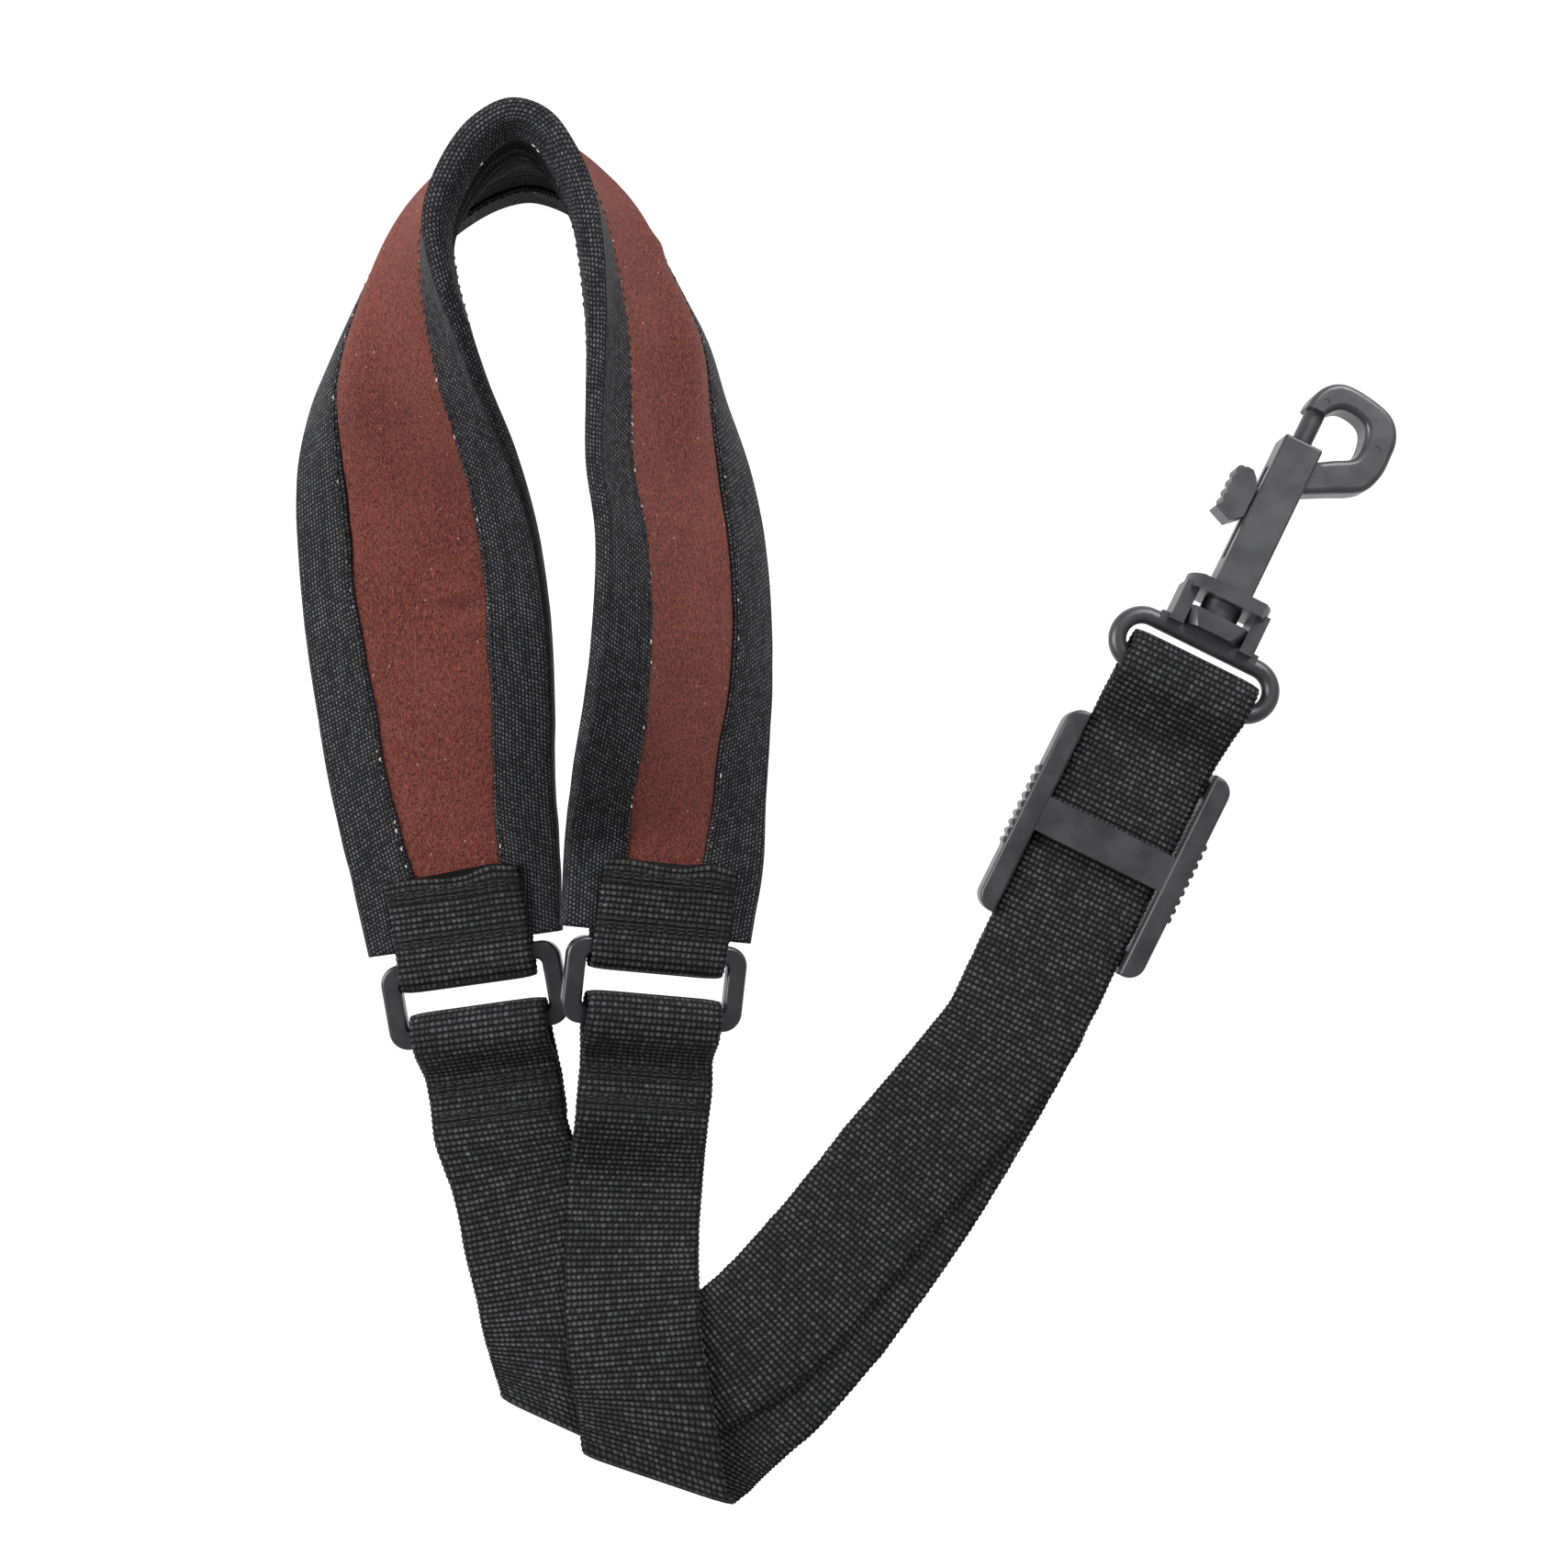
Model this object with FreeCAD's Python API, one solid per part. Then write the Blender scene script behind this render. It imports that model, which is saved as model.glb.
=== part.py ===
"""Saxophone neck strap: a padded neck band, a webbing strap, a slider and a swivel snap hook.

It lies on a flat surface as it is laid down after use. Units are millimetres, +Z is up, +Y runs from
the fold of the strap to the top of the neck band, and the origin is under the middle of the whole.
Soft pieces are ribbons: a list of stations, each a line across the ribbon from its a edge to its b
edge, joined by one smooth curve along each edge.
"""
import FreeCAD, Part
import math
import os

V = FreeCAD.Vector
UP = V(0, 0, 1)

# ---- driving dimensions -------------------------------------------------------------------------
# The stations below are laid out on a plan whose zero is the middle of the lay-out grid. This shift
# takes the plan to the part's own origin.
PLAN_SHIFT = V(0.91, 7.17, 0)

WEB_WIDTH = 25.0
WEB_THICK = 1.3
LAYER_GAP = 0.05

# Neck band
SKIN_THICK = 0.7
TAPE_THICK = 0.6
TAPE_COVER = 11.5
EDGE_INSET = 0.8
FOAM_HALF_EDGE = 0.4
FOAM_HALF_MIDDLE = 2.2
FOAM_TAPER = 45.0
SEAM_INSET = 1.0
THREAD_WIDTH = 0.5
THREAD_HEIGHT = 0.3
END_HEIGHT = 3.2

# How far the middle of the neck band bows out of the line between its edges: outwards in its low
# half and inwards in its high half, growing from START to START + REACH along it from each end.
# The scale makes a bow that size at its greatest.
LOW_BOW = 4.0
LOW_BOW_START = 80.0
LOW_BOW_REACH = 32.0
HIGH_BOW = -3.5
HIGH_BOW_START = 30.0
HIGH_BOW_REACH = 60.0
BOW_SCALE = 27 / 4

# Rings
RING_LENGTH = 33.8
RING_HEIGHT = 15.9
RING_THICK = 3.0
RING_SIDE_BAR = 3.6
RING_CROSS_BAR = 3.2
RING_CORNER = 3.6
RING_INNER_CORNER = 1.2
RING_EDGE = 0.7
RING_FOLD_RADIUS = 2.5
RING_FOLD_TIP = 1.8
STRAP_LOOP_TOP = 4.0

# Tabs and sewn ends
TAB_REACH = 13.0
TAB_UNDER_REACH = 11.0
TAB_ROWS = (-10.0, -1.6)
STRAP_ROWS = (16.8, 22.4)
ROW_LENGTH = 22.0
ROW_WIDTH = 1.2
# The strap's sewn ends, by distance from the ring: where the under layer lies, how far the upper
# layer stands off it on the way down from the fold, and where the strap veers to its own line.
STRAP_UNDER = (24.6, 16.0, 8.5)
STRAP_DESCENT = ((8.5, 4.8), (10.2, 3.75), (12.0, 1.95), (13.6, 0.5), (15.0, 0.0), (18.5, 0.0), (26.0, 0.0))
VEER_FROM = 9.0
VEER_REACH = 10.0

# Line of slider, swivel base and hook: its zero is the middle of the slider.
LINE_START = V(47.0, -9.0, 0)
LINE_HEADING = 26.3

# Slider
SLIDER_HALF_LENGTH = 20.5
SLIDER_INNER = 12.8
SLIDER_OUTER = 16.8
SLIDER_HEIGHT = 6.6
SLIDER_END_CORNER = 3.2
SLIDER_EDGE = 0.7
CENTRE_BAR_HALF = 3.4
CENTRE_BAR_BOTTOM = 4.9
END_BAR_FROM = 15.9
END_BAR_TO = 19.3
END_BAR_TOP = 1.75
GRIP_TEETH = 9
GRIP_PITCH = 1.85
GRIP_RADIUS = 0.75
GRIP_PROUD = 0.5
SLIDER_WEB_LOW = 2.65
SLIDER_WEB_HIGH = 4.0

# Swivel base, from the axis of the bar that the webbing goes round
BAR_ALONG = 32.25
BAR_HEIGHT = 6.6
HOOK_DROOP = 3.0
WIRE_RADIUS = 1.65
LOOP_RADIUS = 4.55
LOOP_END = 10.7
FOLD_RADIUS = 3.05
FOLD_OFFSET = 2.5
LIP_FROM = 10.4
WINDOW_FROM = 13.7
COLLAR_FROM = 16.75
COLLAR_TO = 19.35
COLLAR_RADIUS = 8.3
COLLAR_HALF_THICK = 5.5
LIP_RADIUS = 6.8
LIP_HALF_THICK = 4.6
LIP_TAPER = 1.2
POST_INNER = 5.7
POST_OUTER = 8.4
POST_HALF_THICK = 3.6
POST_SUNK = 0.6
BRIDGE_SIDE = 1.4
NECK_RADIUS = 2.5
NECK_FIT = 0.06
BARREL_RADIUS = 3.75
BARREL_FROM = 13.85
BARREL_TO = 16.65

# Hook
BODY_FROM = 19.45
BODY_TO = 50.15
BODY_HALF_WIDTH = 3.75
BODY_HALF_THICK = 3.5
BODY_EDGE = 0.5
BORE_RADIUS = 2.0
BORE_FROM = 24.5
SLOT_HALF = 1.1
SLOT_FROM = 25.0
SLOT_TO = 44.0
CLAW_HALF_THICK = 3.1
CLAW_EDGE = 1.1
PIN_MARK_RADIUS = 0.7
PIN_MARK_DEPTH = 0.15
PIN_MARKS = ((0.4, 58.6), (12.6, 54.8))
# Outlines of the claw, x across and y along from the bar's axis: from the nose round the outside to
# the body, and from the body round the eye to the nose.
CLAW_OUTER = (
    (-2.3, 56.75), (-1.8, 59.75), (-0.5, 61.85), (1.8, 63.35), (4.5, 63.65), (7.5, 63.35), (10.4, 62.75),
    (13.0, 61.55), (14.7, 59.55), (15.5, 57.45), (15.7, 54.75), (15.7, 51.95), (15.2, 49.55),
    (14.3, 47.55), (12.6, 46.05), (9.4, 44.35), (5.7, 42.35), (3.0, 40.9),
)
CLAW_INNER = (
    (3.0, 47.6), (4.6, 48.55), (6.7, 49.85), (8.7, 50.95), (9.7, 51.85), (10.05, 53.0), (10.0, 55.05),
    (9.6, 56.75), (8.9, 57.95), (7.4, 58.8), (5.4, 59.15), (3.7, 58.9), (2.5, 58.0), (1.6, 56.75),
)

# Gate bolt and spring
BOLT_RADIUS = 1.9
BOLT_FROM = 36.0
BOLT_TO = 56.65
BOLT_TRAVEL = 6.6
KNOB_HALF_THICK = 2.4
KNOB_ROOT_HALF = 0.95
KNOB_ROOT_OUTER = -4.6
KNOB_ROOT_INNER = -1.0
KNOB_ROOT_FROM = 36.3
KNOB_ROOT_TO = 38.8
KNOB_OUTLINE = (
    (-4.1, 32.9), (-5.3, 31.8), (-6.2, 31.0), (-9.6, 32.4), (-8.4, 34.0),
    (-8.1, 40.9), (-7.4, 41.6), (-6.1, 41.5), (-5.0, 40.4), (-4.1, 38.8),
)
KNOB_RIDGES = 4
KNOB_RIDGE_RADIUS = 1.0
KNOB_RIDGE_PITCH = 1.9
KNOB_RIDGE_ACROSS = -8.1
KNOB_RIDGE_FROM = 34.7
SPRING_RADIUS = 1.45
SPRING_WIRE = 0.45
SPRING_TURNS = 8

# Lengths between the cut sections of the ribbons
PAD_STEP = 9.0
WEB_STEP = 6.5

# Neck band stations, from the left end over the top to the right end: the outer edge, which rests on
# the surface, then the inner edge, which stands up at the top of the loop.
PAD_LEFT = (
    ((-89.3, -30.1, END_HEIGHT), (-53.4, -25.1, END_HEIGHT)),
    ((-92.7, -15.4, END_HEIGHT), (-54.0, -10.2, END_HEIGHT)),
    ((-96.0, -1.0, 3.0), (-54.5, 2.0, 5.0)),
    ((-100.2, 24.0, 2.8), (-54.6, 27.0, 10.0)),
    ((-102.2, 45.0, 2.6), (-56.0, 44.5, 16.5)),
    ((-102.0, 61.5, 2.4), (-59.5, 59.5, 24.5)),
    ((-98.7, 73.6, 2.3), (-63.3, 69.4, 32.5)),
    ((-92.8, 84.0, 2.2), (-65.9, 77.5, 38.5)),
    ((-86.0, 93.4, 2.1), (-68.7, 86.0, 42.5)),
    ((-79.0, 101.4, 2.0), (-69.9, 94.5, 44.6)),
    ((-72.4, 106.9, 2.0), (-67.2, 102.5, 45.6)),
    ((-65.7, 110.6, 2.0), (-62.6, 108.8, 46.2)),
)
PAD_TOP = ((-59.6, 111.9, 2.0), (-56.8, 112.1, 46.4))
PAD_RIGHT = (
    ((-54.0, 110.5, 2.0), (-51.2, 110.4, 46.3)),
    ((-48.6, 107.3, 2.0), (-47.0, 104.6, 46.0)),
    ((-43.0, 102.6, 2.0), (-44.5, 98.3, 45.6)),
    ((-38.3, 96.8, 2.0), (-43.3, 91.5, 45.2)),
    ((-33.0, 89.0, 2.0), (-42.8, 83.0, 44.2)),
    ((-27.8, 81.0, 2.1), (-42.9, 75.0, 43.0)),
    ((-24.1, 72.0, 2.2), (-43.4, 66.5, 41.8)),
    ((-19.5, 59.5, 2.3), (-43.8, 56.0, 40.3)),
    ((-16.6, 45.0, 2.5), (-42.6, 43.5, 38.0)),
    ((-15.3, 23.0, 2.8), (-44.5, 23.0, 33.0)),
    ((-15.9, 1.0, 3.0), (-49.3, 3.0, 22.0)),
    ((-16.2, -12.6, 3.1), (-51.7, -8.3, 13.6)),
    ((-18.6, -27.5, 3.1), (-52.6, -23.3, 13.2)),
)

# Webbing stations: middle x, y, height of the a edge, height of the b edge, angle of the line across
# from a to b, and its length where the webbing is cut slantwise.
LEFT_RUN = (
    (-62.2, -71.7, 0.95, 0.95, 12, 25.0),
    (-58.0, -91.0, 0.85, 1.3, 11, 25.0),
    (-55.4, -101.0, 1.6, 3.2, 2, 25.4),
    (-53.2, -109.5, 2.6, 4.0, -12, 27.4),
)
LEFT_FOLD = (-51.0, -117.2, 3.1, 4.3, -24, 30.9)
UPPER_DIAGONAL = (
    (-43.5, -114.4, 1.35, 2.65, -34, 27.8),
    (-36.5, -111.4, 2.0, 2.45, -46, 25.7),
    (-28.5, -107.3, 2.15, 2.15, -54, 25.0),
    (-21.3, -103.0, 2.15, 2.15, -50, 25.0),
    (-14.4, -97.3, 2.15, 2.15, -45, 25.0),
    (-4.8, -86.8, 2.15, 2.15, -41, 25.0),
    (5.0, -74.6, 2.15, 2.15, -38.5, 25.0),
    (13.2, -64.6, 2.4, 2.4, -37.5, 25.0),
    (22.0, -53.9, 3.4, 3.4, -33.5, 25.0),
)
LOWER_DIAGONAL = (
    (28.0, -47.6, 2.1, 2.1, -27.5, 25.0),
    (21.7, -59.0, 1.1, 1.1, -30, 25.0),
    (15.0, -70.3, 0.75, 0.75, -32.5, 25.0),
    (7.4, -82.0, 0.7, 0.7, -35, 25.0),
    (-0.4, -92.7, 0.7, 0.7, -38, 25.0),
    (-7.6, -101.7, 0.7, 0.7, -40, 25.0),
    (-15.0, -110.0, 0.7, 0.7, -43, 25.0),
    (-22.5, -116.8, 0.7, 0.7, -40, 25.4),
    (-28.0, -121.4, 0.7, 0.7, -30, 26.8),
)
RIGHT_FOLD = (-36.3, -123.9, 6.5, 4.9, -21, 29.0)
RIGHT_RUN = (
    (-37.4, -117.0, 6.4, 4.7, -12, 26.6),
    (-38.9, -108.0, 6.0, 4.3, 1, 25.1),
    (-40.2, -98.0, 4.7, 4.0, 5, 25.0),
    (-40.5, -84.0, 2.6, 2.1, 0, 25.0),
    (-39.9, -71.0, 2.7, 0.9, -3, 25.0),
)
# Heights of a and b under each fold, and how far the webbing slides along the fold as it rolls round.
LEFT_FOLD_BOTTOM = (0.9, 2.7)
RIGHT_FOLD_BOTTOM = (0.7, 0.7)
LEFT_FOLD_SLIDE = 0.73
RIGHT_FOLD_SLIDE = 0.56
FOLD_STEPS = 6


# ---- ribbons ------------------------------------------------------------------------------------
def middle(row):
    return (row[0] + row[1]) * 0.5


def tangent(before, here, after):
    """Slope of the curve at the middle point of three, each a pair of knot and point."""
    (t0, p0), (t1, p1), (t2, p2) = before, here, after
    return (p1 - p0) / (t1 - t0) - (p2 - p0) / (t2 - t0) + (p2 - p1) / (t2 - t1)


def hermite(p, q, p_slope, q_slope, weight):
    square = weight * weight
    cube = square * weight
    return (
        p * (2 * cube - 3 * square + 1)
        + p_slope * (cube - 2 * square + weight)
        + q * (3 * square - 2 * cube)
        + q_slope * (cube - square)
    )


def resample(stations, step):
    """Smooth curves through both edges, cut about every step of the middle line."""
    first = tuple(p * 2 - q for p, q in zip(stations[0], stations[1]))
    last = tuple(p * 2 - q for p, q in zip(stations[-1], stations[-2]))
    rows = [first] + list(stations) + [last]
    knots = [0.0]
    for before, after in zip(rows, rows[1:]):
        knots.append(knots[-1] + math.sqrt((middle(after) - middle(before)).Length))
    result = []
    for i in range(1, len(rows) - 2):
        span = knots[i + 1] - knots[i]
        cuts = max(1, round(span * span / step))
        slopes = [
            [tangent(*((knots[n], rows[n][edge]) for n in (j - 1, j, j + 1))) * span for j in (i, i + 1)]
            for edge in range(2)
        ]
        for cut in range(cuts):
            result.append(tuple(
                hermite(rows[i][edge], rows[i + 1][edge], *slopes[edge], cut / cuts) for edge in range(2)
            ))
    result.append(tuple(stations[-1]))
    return result


class Section:
    """A line across a ribbon, with the directions that its thickness and width are measured in."""

    def __init__(self, rows, index, run):
        before = rows[max(index - 1, 0)]
        after = rows[min(index + 1, len(rows) - 1)]
        self.start, end = rows[index]
        self.width = (end - self.start).Length
        self.across = (end - self.start) / self.width
        self.up = self.across.cross(middle(after) - middle(before)).normalize()
        self.run = run

    def point(self, across, up):
        return self.start + self.across * across + self.up * up


def sections(rows):
    runs = [0.0]
    for before, after in zip(rows, rows[1:]):
        runs.append(runs[-1] + (middle(after) - middle(before)).Length)
    return [Section(rows, i, run) for i, run in enumerate(runs)]


def ruled(outlines):
    """A solid through closed outlines of equally many points, with one face to each side of each."""
    rings = [[Part.makeLine(p, q) for p, q in zip(o, list(o[1:]) + [o[0]])] for o in outlines]
    faces = [Part.Face(Part.Wire(ring)) for ring in (rings[0], rings[-1])]
    for before, after in zip(rings, rings[1:]):
        faces += [Part.makeRuledSurface(first, second) for first, second in zip(before, after)]
    shell = Part.Shell(faces)
    shell.sewShape()
    solid = Part.Solid(shell)
    if solid.Volume < 0:
        solid.reverse()
    return solid


def band(rows, thickness):
    half = thickness / 2
    return ruled([
        [s.point(0, -half), s.point(s.width, -half), s.point(s.width, half), s.point(0, half)]
        for s in sections(rows)
    ])


# ---- neck band ----------------------------------------------------------------------------------
def pad_sections():
    stations = [tuple(V(*p) for p in pair) for pair in PAD_LEFT + (PAD_TOP,) + PAD_RIGHT]
    return sections(resample(stations, PAD_STEP))


def smooth_step(value):
    value = min(max(value, 0.0), 1.0)
    return value * value * (3 - 2 * value)


class PadProfile:
    """Heights of the layers above the middle of the neck band, at one section of it."""

    def __init__(self, section, length):
        self.section = section
        self.from_end = min(section.run, length - section.run)
        self.fill = smooth_step((self.from_end - TAB_REACH) / FOAM_TAPER)
        self.low_bow = LOW_BOW * smooth_step((self.from_end - LOW_BOW_START) / LOW_BOW_REACH)
        self.high_bow = HIGH_BOW * smooth_step((self.from_end - HIGH_BOW_START) / HIGH_BOW_REACH)

    def point(self, across, up):
        """A point above the middle of the band, which bows out of the line between its edges."""
        return self.section.point(across, up + self.bow(across))

    def bow(self, across):
        """Straight from stop to stop, so that the layers stay apart all the way across."""
        knots = [0.0] + self.stops() + [self.section.width]
        for low, high in zip(knots, knots[1:]):
            if across <= high:
                break
        share = (across - low) / (high - low)
        return self.bow_curve(low) * (1 - share) + self.bow_curve(high) * share

    def bow_curve(self, across):
        share = across / self.section.width
        lean = self.low_bow * (1 - share) + self.high_bow * share
        return BOW_SCALE * share * (1 - share) * lean

    def foam(self, across):
        sides = abs(2 * across / self.section.width - 1) ** 2.5
        return FOAM_HALF_EDGE + (FOAM_HALF_MIDDLE - FOAM_HALF_EDGE) * self.fill * (1 - min(sides, 1))

    def skin(self, across):
        return self.foam(across) + LAYER_GAP + SKIN_THICK

    def tape(self, across):
        return self.skin(across) + LAYER_GAP + TAPE_THICK

    def stops(self):
        """Where the outline of a layer has its points, from edge to edge."""
        near = [EDGE_INSET, TAPE_COVER / 2, TAPE_COVER]
        far = [self.section.width - stop for stop in reversed(near)]
        return near + [self.section.width / 2] + far

    def layer(self, low, high):
        top = [self.point(a, high(a)) for a in self.stops()]
        bottom = [self.point(a, low(a)) for a in reversed(self.stops())]
        return top + bottom

    def folded_tape(self, inner_edge):
        """The binding tape, folded over one edge of the band."""
        outside = [(TAPE_COVER, self.tape(TAPE_COVER)), (TAPE_COVER / 2, self.tape(TAPE_COVER / 2))]
        outside += [(EDGE_INSET, self.tape(EDGE_INSET)), (0.0, self.skin(0.0) * 0.6)]
        inside = [(a, self.skin(a) + LAYER_GAP) for a in (EDGE_INSET, TAPE_COVER / 2, TAPE_COVER)]
        inside[0] = (EDGE_INSET - LAYER_GAP, inside[0][1])
        loop = outside + [(a, -up) for a, up in reversed(outside)]
        loop += [(a, -up) for a, up in reversed(inside)] + inside
        return [self.point(self.from_edge(a, inner_edge), up) for a, up in loop]

    def seam(self, inner_edge, side):
        near = TAPE_COVER - SEAM_INSET
        low = self.tape(near) + LAYER_GAP
        corners = [(near - THREAD_WIDTH, low), (near, low)]
        corners += [(near, low + THREAD_HEIGHT), (near - THREAD_WIDTH, low + THREAD_HEIGHT)]
        return [self.point(self.from_edge(a, inner_edge), side * up) for a, up in corners]

    def from_edge(self, distance, inner_edge):
        return self.section.width - distance if inner_edge else distance


def pad_profiles():
    cuts = pad_sections()
    return [PadProfile(section, cuts[-1].run) for section in cuts]


def foam_core():
    return ruled([p.layer(lambda a, p=p: -p.foam(a), p.foam) for p in pad_profiles()])


def suede_panel():
    return ruled([p.layer(lambda a, p=p: p.foam(a) + LAYER_GAP, p.skin) for p in pad_profiles()])


def mesh_lining():
    return ruled([
        p.layer(lambda a, p=p: -p.skin(a), lambda a, p=p: -p.foam(a) - LAYER_GAP) for p in pad_profiles()
    ])


def edge_tape(inner_edge):
    return ruled([p.folded_tape(inner_edge) for p in pad_profiles()])


def tape_stitching(inner_edge):
    """The seam thread of one tape, as it shows on both faces of the band between the tabs."""
    profiles = [p for p in pad_profiles() if p.from_end > TAB_REACH + 1]
    return Part.makeCompound([ruled([p.seam(inner_edge, side) for p in profiles]) for side in (1, -1)])


# ---- ends of the neck band: tabs and rings ------------------------------------------------------
class EndFrame:
    """Directions at one end of the neck band: right along its end edge, down away from it, and up."""

    def __init__(self, left_corner, right_corner, down):
        self.origin = (left_corner + right_corner) * 0.5
        self.right = (right_corner - left_corner).normalize()
        self.down = (down - self.right * down.dot(self.right)).normalize()
        self.up = self.down.cross(self.right)

    def point(self, right, down, up):
        return self.origin + self.right * right + self.down * down + self.up * up

    def line(self, middle_right, down, up):
        """A station of 25 mm webbing that lies square to the end frame."""
        half = WEB_WIDTH / 2
        return self.point(middle_right - half, down, up), self.point(middle_right + half, down, up)

    def place(self, shape, right, down, turn):
        """Moves a shape made about zero, with x to the right and y towards the band, to its place."""
        back = self.down * -1
        matrix = FreeCAD.Matrix(
            self.right.x, back.x, self.up.x, 0,
            self.right.y, back.y, self.up.y, 0,
            self.right.z, back.z, self.up.z, 0,
            0, 0, 0, 1,
        )
        shape = shape.copy()
        shape.rotate(V(), UP, turn)
        shape.Placement = FreeCAD.Placement(matrix).multiply(shape.Placement)
        shape.translate(self.point(right, down, 0))
        return shape


def left_end():
    outer, inner = (V(*p) for p in PAD_LEFT[0])
    next_outer, next_inner = (V(*p) for p in PAD_LEFT[1])
    return EndFrame(outer, inner, outer + inner - next_outer - next_inner)


def right_end():
    outer, inner = (V(*p) for p in PAD_RIGHT[-1])
    last_outer, last_inner = (V(*p) for p in PAD_RIGHT[-2])
    return EndFrame(inner, outer, outer + inner - last_outer - last_inner)


# Each side: its end frame, the ring's place in it (right, down), its turn, and the webbing's offsets.
# A lift is how far the far end of the tab stands off the band, above it and under it.
LEFT_SIDE = {
    "end": left_end(), "right": 0.45, "down": 9.7, "turn": 2.0,
    "tab": -0.25, "lift": 0.2, "under_lift": 0.0, "strap": 0.75, "veer": 0.7,
}
RIGHT_SIDE = {
    "end": right_end(), "right": 0.8, "down": 9.2, "turn": 1.0,
    "tab": 0.6, "lift": 0.7, "under_lift": 0.8, "strap": 0.8, "veer": 1.2,
}


def ring(side):
    outer = Part.makeBox(RING_LENGTH, RING_HEIGHT, RING_THICK)
    outer = rounded_uprights(outer, RING_CORNER)
    hole_length = RING_LENGTH - 2 * RING_SIDE_BAR
    hole_height = RING_HEIGHT - 2 * RING_CROSS_BAR
    hole = Part.makeBox(hole_length, hole_height, RING_THICK, V(RING_SIDE_BAR, RING_CROSS_BAR, 0))
    hole = rounded_uprights(hole, RING_INNER_CORNER)
    shape = rounded_faces(outer.cut(hole), RING_EDGE)
    shape.translate(V(-RING_LENGTH / 2, -RING_HEIGHT / 2, -RING_THICK / 2))
    return side["end"].place(shape, side["right"], side["down"], side["turn"])


def rounded_uprights(shape, radius):
    return shape.makeFillet(radius, [e for e in shape.Edges if is_upright(e)])


def is_upright(edge):
    ends = edge.Vertexes
    return len(ends) == 2 and abs(abs(ends[0].Z - ends[1].Z) - edge.Length) < 1e-6


def rounded_faces(shape, radius):
    """Rounds the edges of a flat shape's top and bottom faces."""
    box = shape.BoundBox
    levels = (box.ZMin, box.ZMax)
    edges = [
        e for e in shape.Edges
        if any(abs(e.BoundBox.ZMin - z) < 1e-6 and abs(e.BoundBox.ZMax - z) < 1e-6 for z in levels)
    ]
    return shape.makeFillet(radius, edges)


def half_turn(middle_down, radius, middle_up, start):
    """Down and up of the stations round a ring's bar: start is -1 to begin below, 1 to begin above."""
    result = []
    for step in range(FOLD_STEPS + 1):
        angle = math.pi * step / FOLD_STEPS
        result.append((
            middle_down + start * radius * math.sin(angle),
            middle_up + start * radius * math.cos(angle),
        ))
    return result


def pad_tab(side):
    fold = side["down"] - RING_FOLD_TIP - RING_FOLD_RADIUS - WEB_THICK / 2
    path = [(-TAB_REACH, RING_FOLD_RADIUS + side["lift"]), (0.0, RING_FOLD_RADIUS)]
    path += half_turn(fold, RING_FOLD_RADIUS, 0.0, 1)
    path += [(0.0, -RING_FOLD_RADIUS), (-TAB_UNDER_REACH, -RING_FOLD_RADIUS - side["under_lift"])]
    return band([side["end"].line(side["tab"], down, up) for down, up in path], WEB_THICK)


def strap_offset(side, down):
    return side["strap"] + side["veer"] * smooth_step((down - VEER_FROM) / VEER_REACH)


def sewn_loop(side):
    """Stations of the strap's end: from its cut end, under and round the ring's bar, and on down."""
    low = -RING_FOLD_RADIUS
    joined = low + WEB_THICK + LAYER_GAP
    radius = (STRAP_LOOP_TOP - low) / 2
    path = [(down, low) for down in STRAP_UNDER]
    path += half_turn(RING_FOLD_TIP + radius + WEB_THICK / 2, radius, low + radius, -1)
    path += [(down, joined + rise) for down, rise in STRAP_DESCENT]
    return [side["end"].line(strap_offset(side, down), side["down"] + down, up) for down, up in path]


def thread_row(side, offset, down, up):
    """One row of stitches across the webbing, as the low bar that its thread makes."""
    row = Part.makeBox(ROW_LENGTH, ROW_WIDTH, THREAD_HEIGHT)
    row.translate(V(-ROW_LENGTH / 2, -ROW_WIDTH / 2, up))
    return side["end"].place(row, offset, down, 0)


def tab_stitching(side):
    surface = RING_FOLD_RADIUS + WEB_THICK / 2 + LAYER_GAP
    rows = [(down, surface - side["lift"] * down / TAB_REACH) for down in TAB_ROWS]
    return Part.makeCompound([thread_row(side, side["tab"], down, up) for down, up in rows])


def strap_stitching(side):
    up = -RING_FOLD_RADIUS + 1.5 * WEB_THICK + 2 * LAYER_GAP
    return Part.makeCompound([
        thread_row(side, strap_offset(side, down), side["down"] + down, up) for down in STRAP_ROWS
    ])


# ---- line of slider, base and hook --------------------------------------------------------------
def on_line(across, along, height):
    heading = math.radians(LINE_HEADING)
    return LINE_START + V(
        across * math.cos(heading) + along * math.sin(heading),
        along * math.cos(heading) - across * math.sin(heading),
        height,
    )


def place_on_line(shape, along=0.0, height=0.0, droop=0.0):
    """Turns a shape made with x across the line and y along it into place."""
    shape = shape.copy()
    shape.rotate(V(), V(1, 0, 0), -droop)
    shape.rotate(V(), UP, -LINE_HEADING)
    shape.translate(on_line(0, along, height))
    return shape


def box(low, high):
    return Part.makeBox(high[0] - low[0], high[1] - low[1], high[2] - low[2], V(*low))


def mirrored(shape):
    return shape.mirror(V(), V(1, 0, 0))


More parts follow.
